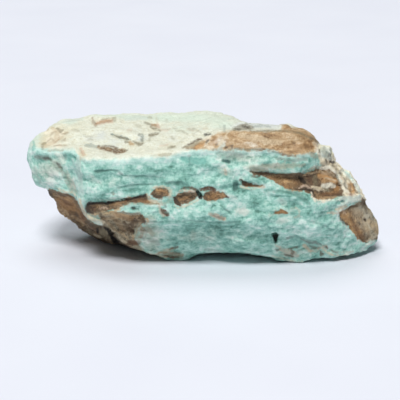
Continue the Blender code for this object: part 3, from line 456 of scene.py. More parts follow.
LENS_ROW = [
    ("sand", 0.7, 0.1, [(147, 193.5, 0.6), (148.3, 197.5, 1.2), (151.5, 200.8, 1.2), (157, 201.5, 0.8)]),
    ("sand", 0.5, 0.1, [(150, 190, 0.5), (155.5, 187.3, 0.7), (163, 186.5, 0.7), (169.5, 188.6, 0.8),
        (171, 193, 1.2), (168.5, 198, 1)]),
    # Painted shade at the bean's lower left.
    ("dusk", 0.7, -0.2, [(153, 195, 0.8), (157, 196.9, 1.2), (161.5, 196.4, 1.1)]),
    ("orange", 0.4, 0.1, [(157, 190.8, 0.7), (162, 190.5, 1.1), (167, 193, 0.8)]),
    ("drab", 0.5, 0, [(159, 203.3, 1.2), (165, 202.8, 1.7), (170, 200.5, 1)]),
    ("dusk", 0.8, -0.2, [(174.3, 198, 1), (176, 201.5, 1.9), (179, 204.3, 1.5)]),
    ("rust", 0.5, 0.2, [(181, 200, 0.9), (186, 198, 1.2), (191, 195.6, 0.9)]),
    ("umber", 0.5, -0.2, [(184, 194.6, 0.5), (188, 195.3, 0.7)]),
    ("umber", 0.6, 0, [(171, 202.3, 0.8), (172.5, 203.5, 0.6)]),
    ("sand", 0.5, 0.1, [(174, 205.8, 0.4), (177.5, 208, 0.7), (185, 206.6, 0.8), (191.5, 203.2, 0.7),
        (197, 200.6, 0.5)]),
    ("rose", 0.5, 0.1, [(179.5, 191.3, 0.8), (186, 190.4, 1), (193.5, 191.3, 0.8)]),
    ("umber", 0.8, -0.3, [(181.5, 188.9, 0.7), (187, 187.6, 1.3), (192.5, 188, 1.3), (197, 190, 0.7)]),
    ("maroon", 0.95, -0.3, [(200, 190, 1), (204.5, 189.3, 1.6), (209, 188.8, 2.4), (214.5, 190, 1.5)]),
    ("dusk", 0.6, 0, [(206, 189, 0.6), (209.5, 189.5, 0.6)]),
    ("rust", 0.5, 0.2, [(208.5, 196.3, 1.3), (209.3, 197.2, 1.3)]),
    ("rust", 0.6, 0.3, [(213, 195.5, 1.2), (213.6, 198.3, 1.1)]),
    ("orange", 0.35, 0.3, [(217.5, 194.3, 1.2), (222.5, 195.3, 1.3)]),
    ("dusk", 0.8, 0, [(226, 196.7, 1), (228, 197.5, 0.6)]),
    ("mist", 0.4, 0, [(230.5, 196, 1.3), (236, 198, 1.2)]),
    # Painted shadow in the pit.
    ("black_and_shadow", 0.97, -1.4, [(196.8, 191.5, 0.8), (198.3, 194.3, 1.6), (200.6, 197.3, 1.5)]),
    ("rose", 0.5, 0, [(159.5, 207, 1.3), (161, 211, 2), (164, 215.5, 1.4)]),
    ("maroon", 0.9, -0.2, [(161.5, 209.3, 1.3), (164, 212, 2.2), (167.3, 214.5, 1.8)]),
    ("dusk", 0.6, 0, [(165.5, 213.5, 0.6), (168, 215, 0.8)]),
    ("deep", 0.5, 0, [(165, 205, 0.8), (165.5, 206.5, 0.6)]),
    ("rose", 0.65, 0, [(209.5, 213.6, 1.2), (216, 216.2, 2.2), (224, 218.8, 1.9)]),
    ("maroon", 0.5, 0, [(213, 215.4, 0.7), (218, 217, 1), (223.5, 218.8, 1.1)]),
]
ABOVE_POD = [
    ("dusk", 0.8, -0.2, [(240.3, 180.8, 0.8), (243, 182.5, 1.3), (247, 182.6, 0.7), (256, 184, 0.4)]),
    ("maroon", 0.5, 0, [(246, 184.8, 1), (252, 185.5, 1), (258, 185.4, 0.6)]),
    ("sand", 0.5, 0.1, [(241, 186.3, 0.6), (246, 188.6, 0.8), (256, 188.3, 0.8), (264, 187, 0.5)]),
    # Painted shadow in the recess beside the wedge.
    ("deep", 0.65, -0.2, [(236, 183.5, 2.6), (235, 189, 2.2)]),
    ("deep", 0.85, -0.3, [(223.3, 160.2, 1.3), (229, 162.1, 1.3)]),
    ("mist", 0.4, 0, [(219, 168, 1.5), (224, 169, 1.8)]),
    ("rose", 0.6, -0.1, [(225, 170, 1.1), (226, 174.3, 1.2)]),
    ("jade", 0.7, 0, [(182, 158.5, 1.5), (190, 160, 3.2), (203, 161.5, 2.6)]),
    ("deep", 0.35, 0, [(189.5, 157, 0.9), (189.7, 165, 0.9)]),
    ("stone", 0.4, 0, [(217, 153, 1.6), (228, 154, 3), (241, 155, 2.4)]),
    ("drab", 0.4, 0, [(251, 167.5, 1.6), (257, 167.5, 2.2), (267, 169.5, 1.4)]),
    ("tan", 0.35, 0, [(252, 170, 0.6), (258, 170.3, 1.1), (264, 170.6, 0.7)]),
    ("drab", 0.5, 0, [(262, 165, 1.4), (276, 166.5, 2.4), (290, 165.5, 2.2), (304, 165, 1.6)]),
    ("stone", 0.5, 0, [(276, 158, 1), (290, 160.5, 1.8), (306, 159, 1.2)]),
    # Painted shadow under the lip above the pod.
    ("umber", 0.75, -0.2, [(250.5, 171.3, 0.4), (255, 172.8, 0.8), (261.5, 173, 1.4), (268, 172.8, 0.9)]),
    ("maroon", 0.7, -0.2, [(252.5, 176.3, 0.7), (256.5, 177, 0.9), (260, 176, 0.6)]),
]
POD = [
    # Painted shadow under the pod's upper edge.
    ("dusk", 0.5, -0.1, [(266, 172.5, 0.8), (276, 173.4, 0.8), (288, 174.6, 1.1), (296, 175.2, 1.3),
        (303, 173.4, 1.2), (307, 171.6, 0.5)]),
    ("umber", 0.35, 0.1, [(268, 177, 1), (274, 179, 1.6), (280, 181.3, 1.3)]),
    ("umber", 0.35, 0, [(287, 177, 1.5), (292, 179, 2.4), (297, 181, 1.8)]),
    ("umber", 0.5, 0, [(288, 184, 1), (294, 185.3, 1.3), (298, 186, 0.8)]),
    ("rust", 0.5, 0.1, [(281, 184.6, 0.7), (286.5, 187, 0.9), (291, 187.5, 0.6)]),
    ("tan", 0.6, 0.1, [(287, 189.7, 0.5), (294, 190.7, 0.7), (301, 190.8, 0.5)]),
    ("maroon", 0.5, 0, [(308, 176.5, 1.6), (310, 181, 2.4), (312, 184, 1.4)]),
    ("olive", 0.5, 0, [(315, 176, 1.6), (315.5, 181, 2), (315, 185, 1.2)]),
    # Painted shadow in the pod's deep corner.
    ("black_and_shadow", 0.65, -0.4, [(299.5, 177.3, 1.1), (302, 180, 2.1), (304.5, 182.5, 1.3)]),
    ("rose", 0.75, 0.4, [(299, 188.2, 0.5), (303, 186, 0.9), (308, 187.2, 0.8), (311, 188.8, 0.5)]),
    # Painted shadow below the ridge.
    ("black_and_shadow", 0.6, -0.2, [(300.5, 189.4, 0.6), (305.5, 189, 1.1), (311, 190.8, 1.1), (314, 193, 0.7)]),
    ("tan", 0.8, 0.3, [(303.5, 175.3, 0.5), (308.5, 173.3, 0.8), (314, 172.8, 0.8), (320, 171, 1)]),
    ("drab", 0.6, 0, [(307, 170.6, 0.8), (313, 168.3, 1.2), (319, 167, 1.1)]),
    ("orange", 0.8, 0.1, [(320, 175, 2.2), (326, 174.5, 3.4), (331, 177.5, 3.4), (335, 182, 2.4)]),
    ("sand", 0.45, 0.1, [(322, 173, 1.2), (328, 173.5, 1.8), (333, 177, 1.4)]),
    ("rust", 0.35, 0, [(321, 181, 0.9), (327, 180.6, 1), (332, 182, 0.6)]),
    ("sand", 0.8, 0.3, [(327, 171, 0.6), (331.5, 173.5, 0.7), (336, 177, 0.6)]),
    ("sand", 0.7, 0.3, [(325, 178, 0.5), (330, 179.3, 0.6), (335.3, 180.8, 0.8)]),
    ("sand", 0.85, 0.3, [(313, 187.3, 1.2), (318, 188.5, 1.9), (324, 189.8, 1)]),
    ("drab", 0.6, 0.1, [(324.5, 187.5, 1.1), (327.5, 190, 1.4)]),
    ("cream", 1, 0.1, [(323, 186, 1.6), (330, 184.8, 2.6), (334.5, 186, 1.6)]),
    ("rust", 0.8, 0, [(334.5, 190.8, 1.3), (337.3, 188.7, 1.7), (338, 186, 0.8)]),
    ("brown", 0.5, 0, [(315, 192.5, 1.2), (318.5, 196.3, 1.6)]),
    ("maroon", 0.55, -0.1, [(321.5, 193.3, 0.9), (327, 194.8, 1.7), (335, 194.6, 1.6), (341, 193.8, 1.1)]),
    ("dusk", 0.5, -0.1, [(323, 195, 0.6), (331, 196, 0.8), (340, 195.3, 1.3), (343, 194.8, 1)]),
    ("tan", 0.6, 0.1, [(321, 197.6, 0.8), (330, 197.5, 0.9), (337, 197, 0.6)]),
    ("cream", 0.8, 0.2, [(311, 192.5, 0.5), (312.3, 197, 0.8), (316, 200.2, 0.9), (322.5, 201.2, 1),
        (330, 200.3, 0.8)]),
]
RIM = [
    ("drab", 0.55, 0, [(310, 153.5, 1.3), (314, 156, 2.2), (319, 157, 1.8)]),
    ("dusk", 0.6, -0.2, [(319.3, 150.3, 0.6), (319.6, 152, 0.7)]),
    ("dusk", 0.4, -0.1, [(311.5, 152.7, 0.6), (314.5, 153.8, 0.7)]),
    ("mist", 0.8, 0.3, [(322.5, 149.5, 2.4), (326, 154, 3.2), (330, 158, 1.8)]),
    ("drab", 0.5, 0, [(321.5, 149, 1.4), (326, 153, 2.4), (331, 158, 1.8)]),
    ("umber", 0.45, -0.3, [(323, 147.5, 0.5), (325, 149.3, 0.8)]),
    ("umber", 0.45, -0.3, [(327.5, 157, 0.5), (329.5, 155, 0.8), (331.5, 153.5, 0.5)]),
    ("stone", 0.55, -0.2, [(321, 151.5, 0.5), (324, 150.7, 0.6), (328, 152.5, 0.8), (330.5, 156.3, 0.8)]),
    ("stone", 0.4, 0, [(323, 155.5, 1), (326, 156.5, 1)]),
    ("sand", 0.8, 0.2, [(321, 163, 1.8), (327, 162.5, 1.8), (334, 165, 1.8), (338, 170, 1.5)]),
    ("dusk", 0.6, -0.2, [(326.3, 160.5, 0.9), (327, 164, 0.8)]),
    ("dusk", 0.7, -0.4, [(330.5, 161.3, 1.2), (333.3, 162.6, 1.5)]),
    ("olive", 0.7, -0.2, [(332.5, 166, 1.1), (334, 166.5, 0.7)]),
    ("drab", 0.6, 0, [(322.5, 165.5, 0.9), (323.5, 167, 0.7)]),
    ("cream", 0.85, 0.3, [(320.5, 168.3, 1.2), (326, 168.4, 2), (330, 167.2, 0.8), (333.5, 170.8, 0.8),
        (336.5, 173.5, 0.6)]),
    ("dusk", 0.6, -0.2, [(336.7, 169.7, 0.8), (337.3, 170.7, 0.6)]),
    ("mist", 0.6, 0, [(337.5, 176, 1.8), (341, 181, 1.2)]),
    ("olive", 0.55, -0.2, [(339.5, 173, 0.5), (342.5, 174.7, 0.8)]),
    ("pale", 0.7, 0.1, [(343, 170.5, 1.2), (347.5, 175, 2), (352, 180, 1.4)]),
    ("aqua", 0.6, 0.1, [(346, 171.5, 1), (349, 175, 1.6), (352, 179, 1.2)]),
    ("rose", 0.6, 0.1, [(340, 177.5, 0.9), (343.5, 179.3, 1)]),
    ("dusk", 0.5, -0.2, [(343.8, 177.7, 0.4), (345.5, 182, 0.8), (344.6, 185, 0.7), (347, 189, 0.6)]),
    ("cream", 0.85, 0.4, [(340, 182.5, 0.7), (342.5, 186, 1.3), (345.5, 190.7, 1.2), (349.5, 193, 0.8)]),
    ("tan", 0.6, 0.2, [(348, 184, 1), (349.5, 188, 1.3), (351, 192, 0.8)]),
    ("orange", 0.7, 0.1, [(350.5, 184.5, 1.2), (351.5, 188.5, 1.8), (354.5, 192.3, 1.2)]),
    ("sand", 0.4, 0, [(350, 186, 0.7), (352, 190, 0.9)]),
    ("brown", 0.8, -0.2, [(353.2, 185, 0.5), (354.7, 189.5, 0.8), (357, 193, 0.8)]),
    ("pale", 0.8, 0.2, [(352.5, 180, 1.2), (356, 185.3, 1.4), (359, 191, 1.3)]),
    ("rose", 0.7, 0.1, [(348, 194, 0.7), (353, 194.8, 0.8), (357.5, 196, 0.6)]),
    ("mist", 0.85, 0.2, [(336, 201, 0.8), (343, 198.3, 1.6), (351, 198.7, 2.3), (359, 196.5, 2)]),
    ("pale", 0.7, 0.2, [(337.5, 206.5, 0.7), (344, 203.5, 1.2), (352, 200.6, 1.3), (359, 199, 1)]),
    ("drab", 0.6, 0, [(355.5, 203.3, 0.9), (358.5, 202.7, 0.9)]),
    ("deep", 0.7, -0.2, [(342.7, 201.6, 1), (344, 202.3, 0.8)]),
    ("jade", 0.4, 0, [(329, 202.6, 1.2), (336, 201.8, 1)]),
]
END_FACE = [
    ("sand", 0.7, 0.1, [(335.5, 209.8, 0.8), (340, 208, 1.2), (346, 206, 0.9)]),
    ("rose", 0.6, 0, [(327.5, 212.5, 0.7), (333, 213.2, 1.1), (337, 213.5, 0.8)]),
    ("umber", 0.85, -0.3, [(349.3, 208.2, 0.5), (352, 206.7, 0.8), (357.3, 206.3, 0.6)]),
    ("rose", 0.45, 0.1, [(343.3, 210.5, 1), (345, 213, 1.2)]),
    ("rust", 0.55, 0, [(342, 215, 1.4), (346, 217.3, 1.8), (350, 220, 1.4)]),
    # Painted shadow along the end face's left edge.
    ("dusk", 0.7, -0.2, [(339.7, 216.5, 0.6), (342.7, 221.8, 0.9), (347, 224.8, 0.6)]),
    ("maroon", 0.4, -0.2, [(351, 216.3, 0.9), (353, 223, 1.7), (356.5, 229.3, 2), (360.5, 236, 1.9),
        (363.5, 240.3, 1.2)]),
    ("umber", 0.6, -0.2, [(350.5, 211, 0.4), (351, 217, 0.8), (353.5, 222.5, 1)]),
    ("tan", 0.4, 0, [(354, 209.5, 2.6), (359, 213, 3.4), (364, 224, 2.6), (369, 233, 1.8)]),
    ("dusk", 0.5, -0.1, [(363.3, 200, 0.7), (364.7, 206, 1.1), (366.5, 213, 0.9)]),
    ("tan", 0.5, 0.1, [(369, 221, 2.2), (374, 226, 3.4), (378, 231, 3)]),
    ("brown", 0.3, 0, [(367.8, 229, 0.9), (368.3, 235, 1)]),
    ("black_and_shadow", 0.85, -0.4, [(364.5, 219.6, 0.9), (364.9, 221, 0.8)]),
    ("black_and_shadow", 0.75, -0.3, [(359, 223, 0.7), (359.4, 224.3, 0.6)]),
    ("dusk", 0.8, -0.2, [(361.3, 217, 0.5), (361.8, 218, 0.4)]),
    ("dusk", 0.5, -0.2, [(376.8, 231.6, 0.6), (377.2, 232.6, 0.6)]),
    ("dusk", 0.5, -0.2, [(373.8, 235, 0.5), (374.4, 235.8, 0.6)]),
    ("sand", 0.7, 0.1, [(368, 240.8, 1), (373, 237.5, 2.2), (377, 235.5, 1.2)]),
    ("stone", 0.6, -0.1, [(370.7, 243.8, 0.7), (375.3, 240.6, 0.8)]),
    ("pale", 0.7, 0.1, [(366, 245.5, 1.3), (370, 243, 1.6), (374, 240.5, 1)]),
]
HALF_MOON = [
    ("rust", 0.5, 0, [(276, 212.5, 0.8), (281, 211, 1.3), (286, 212.8, 0.9)]),
    ("jade", 0.45, 0, [(273.5, 216, 0.8), (279, 216, 1.1), (286, 215.5, 0.9)]),
    ("rose", 0.35, 0, [(291, 208.7, 0.5), (296, 207.8, 0.6), (300, 211, 0.5), (299, 216, 0.5),
        (294, 218, 0.4)]),
    ("deep", 0.35, 0, [(291, 213.5, 0.9), (294, 213.3, 0.9)]),
    ("mist", 0.35, 0, [(279, 199, 2), (284, 203, 3)]),
    ("deep", 0.4, 0, [(281, 200, 0.8), (283, 201, 0.6)]),
    ("mist", 0.35, 0, [(279, 222, 2.5), (286, 221, 2)]),
    ("mist", 0.5, 0, [(238, 210, 2.5), (245, 213, 3.2)]),
    ("deep", 0.4, -0.2, [(264, 191.5, 0.5), (278, 191, 0.9), (290, 192.3, 1.5), (299, 195.5, 2.4),
        (306, 201, 1.8), (310, 204.5, 0.8)]),
    ("deep", 0.45, -0.3, [(221, 206, 0.4), (226, 210, 0.9), (231, 214, 0.6)]),
]
LEDGES = [
    # Painted shade in the creases of the ledges.
    ("deep", 0.6, -0.3, [(94.5, 171.8, 0.6), (98, 171.8, 1.6), (103, 170.8, 0.9), (112, 170.4, 0.3)]),
    ("deep", 0.4, -0.2, [(112, 170.5, 0.5), (119, 171.5, 0.6), (122, 175, 0.7), (121, 180, 0.6)]),
    ("deep", 0.4, -0.3, [(118, 188.5, 0.4), (128, 186, 0.9), (140, 184.8, 0.7), (158, 184.3, 0.4)]),
    ("deep", 0.3, -0.3, [(122, 175.5, 0.4), (135, 176.6, 0.9), (150, 176.6, 0.6), (165, 178, 0.4)]),
    ("deep", 0.4, -0.3, [(166, 184, 0.8), (173, 183.3, 1.7), (181, 183.7, 1.6), (188, 185.5, 0.7)]),
    ("deep", 0.25, -0.3, [(150, 222, 0.4), (170, 222.5, 0.6), (190, 221, 0.5), (215, 223, 0.9),
        (240, 222, 0.6)]),
    ("deep", 0.3, -0.2, [(308, 221.5, 0.4), (316, 222.5, 0.7), (325, 226, 0.9), (331, 230, 0.6)]),
    ("deep", 0.4, -0.3, [(287, 238, 0.7), (295, 236, 1.3), (303, 238.6, 1.2)]),
    # Painted shade under the low ledge.
    ("stone", 0.7, -0.4, [(301, 239.5, 0.6), (308.5, 241.8, 1.5), (315, 242.3, 1.2), (321, 244, 0.6)]),
    ("deep", 0.3, -0.3, [(205, 250, 0.4), (213, 250.3, 0.9), (224, 251.3, 0.4)]),
    # Painted shadow in the notch.
    ("black_and_shadow", 0.97, -0.6, [(272.7, 235.2, 0.9), (277.3, 235.2, 0.9)]),
    ("black_and_shadow", 0.97, -1.2, [(275, 236, 2.2), (275.4, 239.5, 1.5), (275.5, 243, 0.7)]),
    ("dusk", 0.7, -0.2, [(276, 250, 0.7), (280.3, 249.3, 0.8)]),
    ("dusk", 0.35, 0, [(281.3, 249, 0.3), (281.6, 254, 0.3)]),
    ("rust", 0.45, 0, [(112.7, 192.8, 0.7), (114, 193.8, 0.7)]),
]
FOOT_VEINS = [
    ("rose", 0.5, 0.1, [(277, 246.5, 1.2), (284, 251, 2.2), (292, 252.5, 2.6), (298, 256, 1.4)]),
    ("maroon", 0.65, -0.1, [(291.5, 250, 0.9), (293, 252.6, 1.6), (291.7, 254.8, 1)]),
    ("umber", 0.7, -0.2, [(284, 254.3, 0.5), (288.5, 255.5, 0.9), (293, 256.5, 0.7)]),
    ("umber", 0.7, -0.2, [(288.5, 249.2, 0.6), (295, 247.4, 0.9), (299, 247, 0.5)]),
    ("umber", 0.5, -0.1, [(297, 250.8, 0.4), (303, 249.2, 0.7), (308, 246.5, 0.6)]),
    ("sand", 0.7, 0.1, [(303.5, 245.5, 1.1), (307.5, 248.7, 1.8), (311, 251.5, 1.3)]),
    ("rose", 0.5, 0.1, [(311, 250.5, 1.2), (316, 251.5, 1.4), (320, 247, 0.9), (326.3, 246, 1)]),
    ("maroon", 0.5, -0.2, [(309.5, 246, 0.6), (314, 248.2, 1.2), (319, 248, 1.2)]),
    ("umber", 0.75, -0.2, [(320.6, 251, 0.6), (321.3, 254.3, 1.1), (323.3, 254, 0.8)]),
    ("sand", 0.7, 0.2, [(322, 247.6, 0.8), (325, 250.3, 0.9), (328.3, 253.2, 0.8), (332, 254.8, 0.5)]),
    ("umber", 0.65, -0.1, [(326, 247, 0.9), (327, 248.3, 0.9)]),
    ("umber", 0.6, -0.1, [(331.5, 250.4, 0.6), (334.3, 252, 0.9), (337.5, 252.2, 0.5)]),
    ("drab", 0.5, 0, [(337, 251.6, 0.5), (345, 251.8, 0.6), (353, 251.6, 0.4)]),
    ("sand", 0.5, 0.1, [(331, 255.3, 0.5), (341, 255.3, 0.8), (350, 254.8, 0.5)]),
    ("rust", 0.6, 0, [(355.5, 254.6, 0.7), (361, 253.8, 0.9), (366, 253, 0.6)]),
    ("sand", 0.4, 0.1, [(272, 256.3, 0.5), (282, 258.6, 0.8), (293, 261, 0.7), (303, 261.3, 0.5)]),
    ("tan", 0.5, 0.1, [(157, 254.3, 1), (165, 251.5, 1.8), (173, 248.8, 1.3)]),
    ("umber", 0.65, -0.2, [(169.5, 249.3, 0.6), (173, 248.2, 1), (177, 247.3, 0.7)]),
    ("olive", 0.55, -0.1, [(154, 255.6, 0.8), (163, 256, 1.3), (173, 257, 1.6), (182, 257, 1.2)]),
    ("brown", 0.6, -0.1, [(158, 253.5, 0.7), (166, 253.2, 1.4), (174, 253.8, 1.8), (182, 255, 1.1)]),
    ("umber", 0.75, -0.2, [(164, 256, 0.9), (171, 257.2, 1.4), (178, 257.3, 1)]),
    ("umber", 0.5, -0.2, [(174, 252.5, 0.8), (180, 253.3, 0.7)]),
    ("sand", 0.6, 0.1, [(143.5, 252.6, 0.7), (150, 254.3, 0.8), (158, 256.4, 0.9), (167, 257.8, 0.7)]),
]
CREST = [
    ("drab", 0.6, 0, [(187, 147, 1), (193, 145.3, 1.6), (198, 142, 1.2)]),
    ("umber", 0.75, -0.2, [(182.7, 147.8, 0.5), (188, 145, 1), (194, 142, 0.9), (201, 138.7, 0.8)]),
    ("umber", 0.5, -0.1, [(186, 148.6, 0.5), (194, 148.6, 0.5)]),
    ("orange", 0.55, 0.1, [(196.5, 147, 1), (200, 145, 1.5), (204, 144.3, 1)]),
    ("cream", 0.45, 0.1, [(205, 138.5, 1.6), (209, 137, 1.8), (206, 146, 1.8), (212, 147.5, 1.5)]),
    ("rose", 0.4, 0, [(211, 144, 1.8), (216, 141.5, 2)]),
    ("black_and_shadow", 0.8, 0.2, [(204.7, 134.9, 1), (207.5, 134.3, 1.2), (210.3, 133.7, 0.6)]),
    ("dusk", 0.8, -0.3, [(206.3, 142.3, 1), (208.7, 139.7, 0.7)]),
    ("dusk", 0.8, -0.3, [(212, 140.4, 0.8), (213.3, 140.1, 0.7)]),
    ("dusk", 0.6, 0, [(215.7, 144.6, 0.5), (217.5, 144.3, 0.5)]),
    ("sand", 0.5, 0.1, [(219, 145, 1.1), (222.5, 141, 1.5), (225.7, 136.5, 1.1), (227.7, 132.5, 0.8)]),
    ("mist", 0.6, 0.1, [(220, 147.3, 1.4), (224, 144.5, 1.5)]),
    ("dusk", 0.75, -0.3, [(225.6, 147, 0.9), (227, 146.8, 0.7)]),
    ("dusk", 0.65, -0.2, [(229.5, 145.8, 0.6), (232.3, 145.7, 0.8), (232, 148.2, 0.7)]),
    ("olive", 0.5, 0, [(228, 149.3, 0.7), (234, 150.3, 0.9)]),
    ("dusk", 0.5, 0, [(212.5, 149.7, 0.5), (217, 149.3, 0.5)]),
    ("rust", 0.5, 0, [(230.5, 135.2, 0.8), (233, 135, 0.6)]),
    # Painted shade along the crest's lower edge.
    ("olive", 0.5, -0.2, [(235, 149.3, 0.6), (246, 149.7, 0.8), (256, 149.8, 0.7)]),
    ("umber", 0.6, -0.2, [(257.5, 149.7, 0.6), (263, 149.6, 0.9), (270, 150.3, 0.6)]),
    ("umber", 0.5, -0.2, [(272, 151.7, 0.5), (279, 153.8, 0.8), (287, 156, 0.8), (298, 156, 0.5)]),
    ("umber", 0.5, -0.2, [(292.5, 143, 0.9), (294.7, 143.5, 0.8)]),
    ("brown", 0.5, -0.1, [(305, 143.5, 1), (308.3, 147.7, 1.6), (310.5, 150.3, 0.9)]),
    ("sand", 0.4, 0, [(240, 135, 1.8), (252, 137.5, 3.2), (266, 141, 3.4), (280, 143, 2.4)]),
    ("rust", 0.4, 0, [(296, 150, 1.8), (303, 147, 2.6), (309, 144, 2)]),
    ("brown", 0.35, -0.1, [(284, 147.5, 0.5), (294, 147.3, 0.8), (302, 149, 0.6)]),
    ("brown", 0.3, -0.1, [(266, 137, 0.4), (280, 139, 0.6), (292, 139.3, 0.5), (303, 141.5, 0.5)]),
    ("olive", 0.6, -0.1, [(290, 131.3, 0.5), (300, 133, 0.8), (309, 136.8, 0.8), (315, 140, 0.9),
        (318.3, 143, 0.8)]),
    ("sand", 0.5, 0.1, [(313, 142, 1), (316, 147, 1.2), (315, 151, 1)]),
    ("brown", 0.5, 0.1, [(283, 124.5, 0.7), (286.5, 122.5, 1.1), (290, 125.5, 0.9)]),
]
MARKS = (
    RUSTY_CORNER + RED_STREAK + CRUST_CRACKS + CRUST_WISPS + CORNER_SCAR + LEFT_FACE + UNDER_LEFT
    + LONG_HOLLOW + LUMP + LENS_ROW + ABOVE_POD + POD + RIM + END_FACE + HALF_MOON + LEDGES + FOOT_VEINS
    + CREST
)

# Soft spots by the attribute that stores them: (spots, the value on the sides that the view hides).
SPOTS = {
    "tint": (CRUST_TINTS, 0.3),
    "moss": (CRUST_GREENS, 0.1),
    "ash": (CRUST_GREYS, 0.1),
    "shade": (PAINTED_SHADE_AND_TONE, 0.0),
    "grey": (GREYS, 0.2),
    "rust": (RUSTS, 0.4),
    "buff": (BUFFS, 0.4),
}

# Colours, as sRGB 0 to 255, dark to light.
GREENS = ((84, 132, 118), (128, 182, 167), (172, 216, 202), (216, 238, 229))
GREY_GREENS = ((112, 130, 115), (153, 172, 154), (190, 203, 187), (223, 228, 216))
HOSTS = ((66, 52, 38), (98, 80, 58), (130, 110, 84), (166, 146, 117))
RUSTY_HOSTS = ((76, 52, 32), (124, 90, 56), (162, 124, 80), (202, 168, 122))
BUFF_HOSTS = ((84, 76, 59), (124, 114, 90), (160, 149, 123), (194, 186, 164))
TANS = ((104, 78, 50), (152, 121, 83), (181, 152, 113), (206, 186, 152))
CRUSTS = ((186, 178, 150), (207, 206, 184), (217, 219, 200), (226, 230, 217))
MOSSY, ASHEN, RUSTY = (207, 220, 203), (206, 211, 204), (209, 194, 154)
AQUA = (198, 224, 216)
PALES = ((188, 170, 140), (222, 216, 198), (232, 238, 230), (240, 248, 244))
RIMS = ((150, 133, 106), (194, 184, 156), (234, 224, 194), (246, 240, 219))
FLECKS = (124, 100, 74)
FLOORS = ((219, 222, 231), (223, 226, 234))
RAMP = (0.2, 0.8)  # the tones of the darkest and of the lightest colour

# The material's noises, as (size of their lumps in mm, detail, stretch, roughness).
EVEN = (1.0, 1.0, 1.0)
NOISES = {
    "clouds": (5.0, 3.0, EVEN, 0.6),
    "middle": (1.8, 4.0, (1.0, 1.0, 1.3), 0.6),
    "fine": (0.6, 3.0, EVEN, 0.6),
    "speckle": (0.3, 2.0, EVEN, 0.6),
    "bedding": (5.0, 4.0, (1.0, 1.0, 5.0), 0.6),
    "strokes": (1.6, 3.0, (1.0, 2.6, 1.0), 0.65),
    "knobs": (2.2, 3.0, EVEN, 0.6),
    "pores": (0.5, 4.0, EVEN, 0.6),
    "dents": (1.3, 3.0, EVEN, 0.6),
}
# Tones, as (middling value, what noises and stored values add to it).
# The convex weights paint light on bumps and shade in dips.
TONES = {
    "ragged": (0.0, {"middle": 1.3, "fine": 1.2}),
    "green": (0.53, {
        "clouds": 0.9, "middle": 0.9, "bedding": 0.45, "fine": 0.3, "speckle": 0.15, "shade": 0.2,
        "convex": 0.5,
    }),
    "crust": (0.6, {"middle": 0.7, "clouds": 0.4, "fine": 0.8, "speckle": 0.7, "convex": 0.8}),
    "host": (0.5, {
        "middle": 0.6, "fine": 0.7, "speckle": 0.6, "clouds": 0.3, "convex": 0.4, "shade": 0.2,
    }),
    "tan": (0.56, {
        "middle": 0.9, "fine": 0.5, "speckle": 0.4, "bedding": 0.8, "convex": 0.4, "shade": 0.2,
    }),
    "rim": (0.64, {"knobs": 1.1, "fine": 0.8, "convex": 0.6}),
    "bump": (0.0, {"pores": 1.0, "dents": 1.2}),
}
# Shares of 0 to 1, as (what they are read from, where they begin, where they are full).
SHARES = {
    "grey": ({"grey": 1.0, "clouds": 1.4, "middle": 1.0}, 0.0, 1.0),
    "moss": ({"moss": 0.8, "clouds": 0.8, "middle": 0.5}, 0.0, 0.9),
    "ash": ({"ash": 1.0, "clouds": 1.0, "middle": 0.8}, 0.1, 1.0),
    "tint": ({"tint": 0.9, "middle": 2.0, "fine": 1.2}, 0.1, 1.3),
    "flecks": ({"strokes": 1.0}, 0.12, 0.22),
    "fringe": ({"crust": 1.0, "middle": 2.0}, -2.2, 0.0),
    "rust": ({"rust": 1.0, "clouds": 0.8, "middle": 1.0}, 0.1, 0.9),
    "buff": ({"buff": 1.0, "clouds": 0.8, "middle": 1.0}, 0.1, 0.9),
    "mossy rim": ({"moss": 1.0}, 0.2, 0.9),
    "near host": ({"host": 1.0, "ragged": 1.0}, -0.9, -0.1),
    "halo": ({"middle": 1.0}, -0.1, 0.15),
    # painted shade: where the surface dips
    "cavity_shade": ({"convex": 1.0}, -0.04, -0.3),
    "mottled": ({"middle": 1.0, "fine": 1.2, "speckle": 1.0}, -0.4, 0.25),
    "in crust": ({"crust": 1.0, "ragged": 0.9}, -0.8, 0.8),
    "in tan": ({"tan": 1.0, "ragged": 1.1}, -0.5, 0.5),
    "in rim": ({"rim": 1.0, "ragged": 1.2}, -0.4, 0.4),
    "in host": ({"host": 1.0, "ragged": 0.8}, -0.2, 0.2),
    "in mark": ({"marked": 1.0, "ragged": 0.7}, -0.35, 0.2),
}
# How dull the stone is: on the whole, what host rock adds, and what the fine noise adds.
ROUGHNESS, HOST_ROUGHNESS, FINE_ROUGHNESS = 0.62, 0.2, 0.3
IOR = 1.54  # of quartz
HALO = 0.35  # how strongly the pale halo covers, around host rock
MARK_THICKNESS, MARK_MOTTLING = 0.72, 0.5  # of the painted marks' cover
# What lies on the crust, as (share, how strongly it covers, colour).
CRUST_COATS = (
    ("moss", 1.0, MOSSY), ("ash", 1.0, ASHEN), ("tint", 0.75, RUSTY), ("flecks", 0.35, FLECKS),
)


def smooth_step(low, high, value):
    """0 below low and 1 above high, easing between them; high may be the smaller of the two."""
    share = np.clip((value - low) / (high - low), 0.0, 1.0)
    return share * share * (3.0 - 2.0 * share)


def linear(colour):
    """An sRGB colour of 0 to 255 as the linear RGBA that shaders take."""
    shares = [value / 255.0 for value in colour]
    parts = [
        share / 12.92 if share <= 0.04045 else ((share + 0.055) / 1.055) ** 2.4
        for share in shares
    ]
    return (*parts, 1.0)


def lumps(points, kind, share=1.0):
    """Fractal noise at each point times share; kind is the size of its lumps, octaves, height and shift."""
    size, octaves, height, shift = kind
    scaled = points / np.array(size) + shift
    heights = [noise.fractal(Vector(point), OCTAVE_FALL, OCTAVE_STEP, octaves) for point in scaled]
    return share * height * np.array(heights)


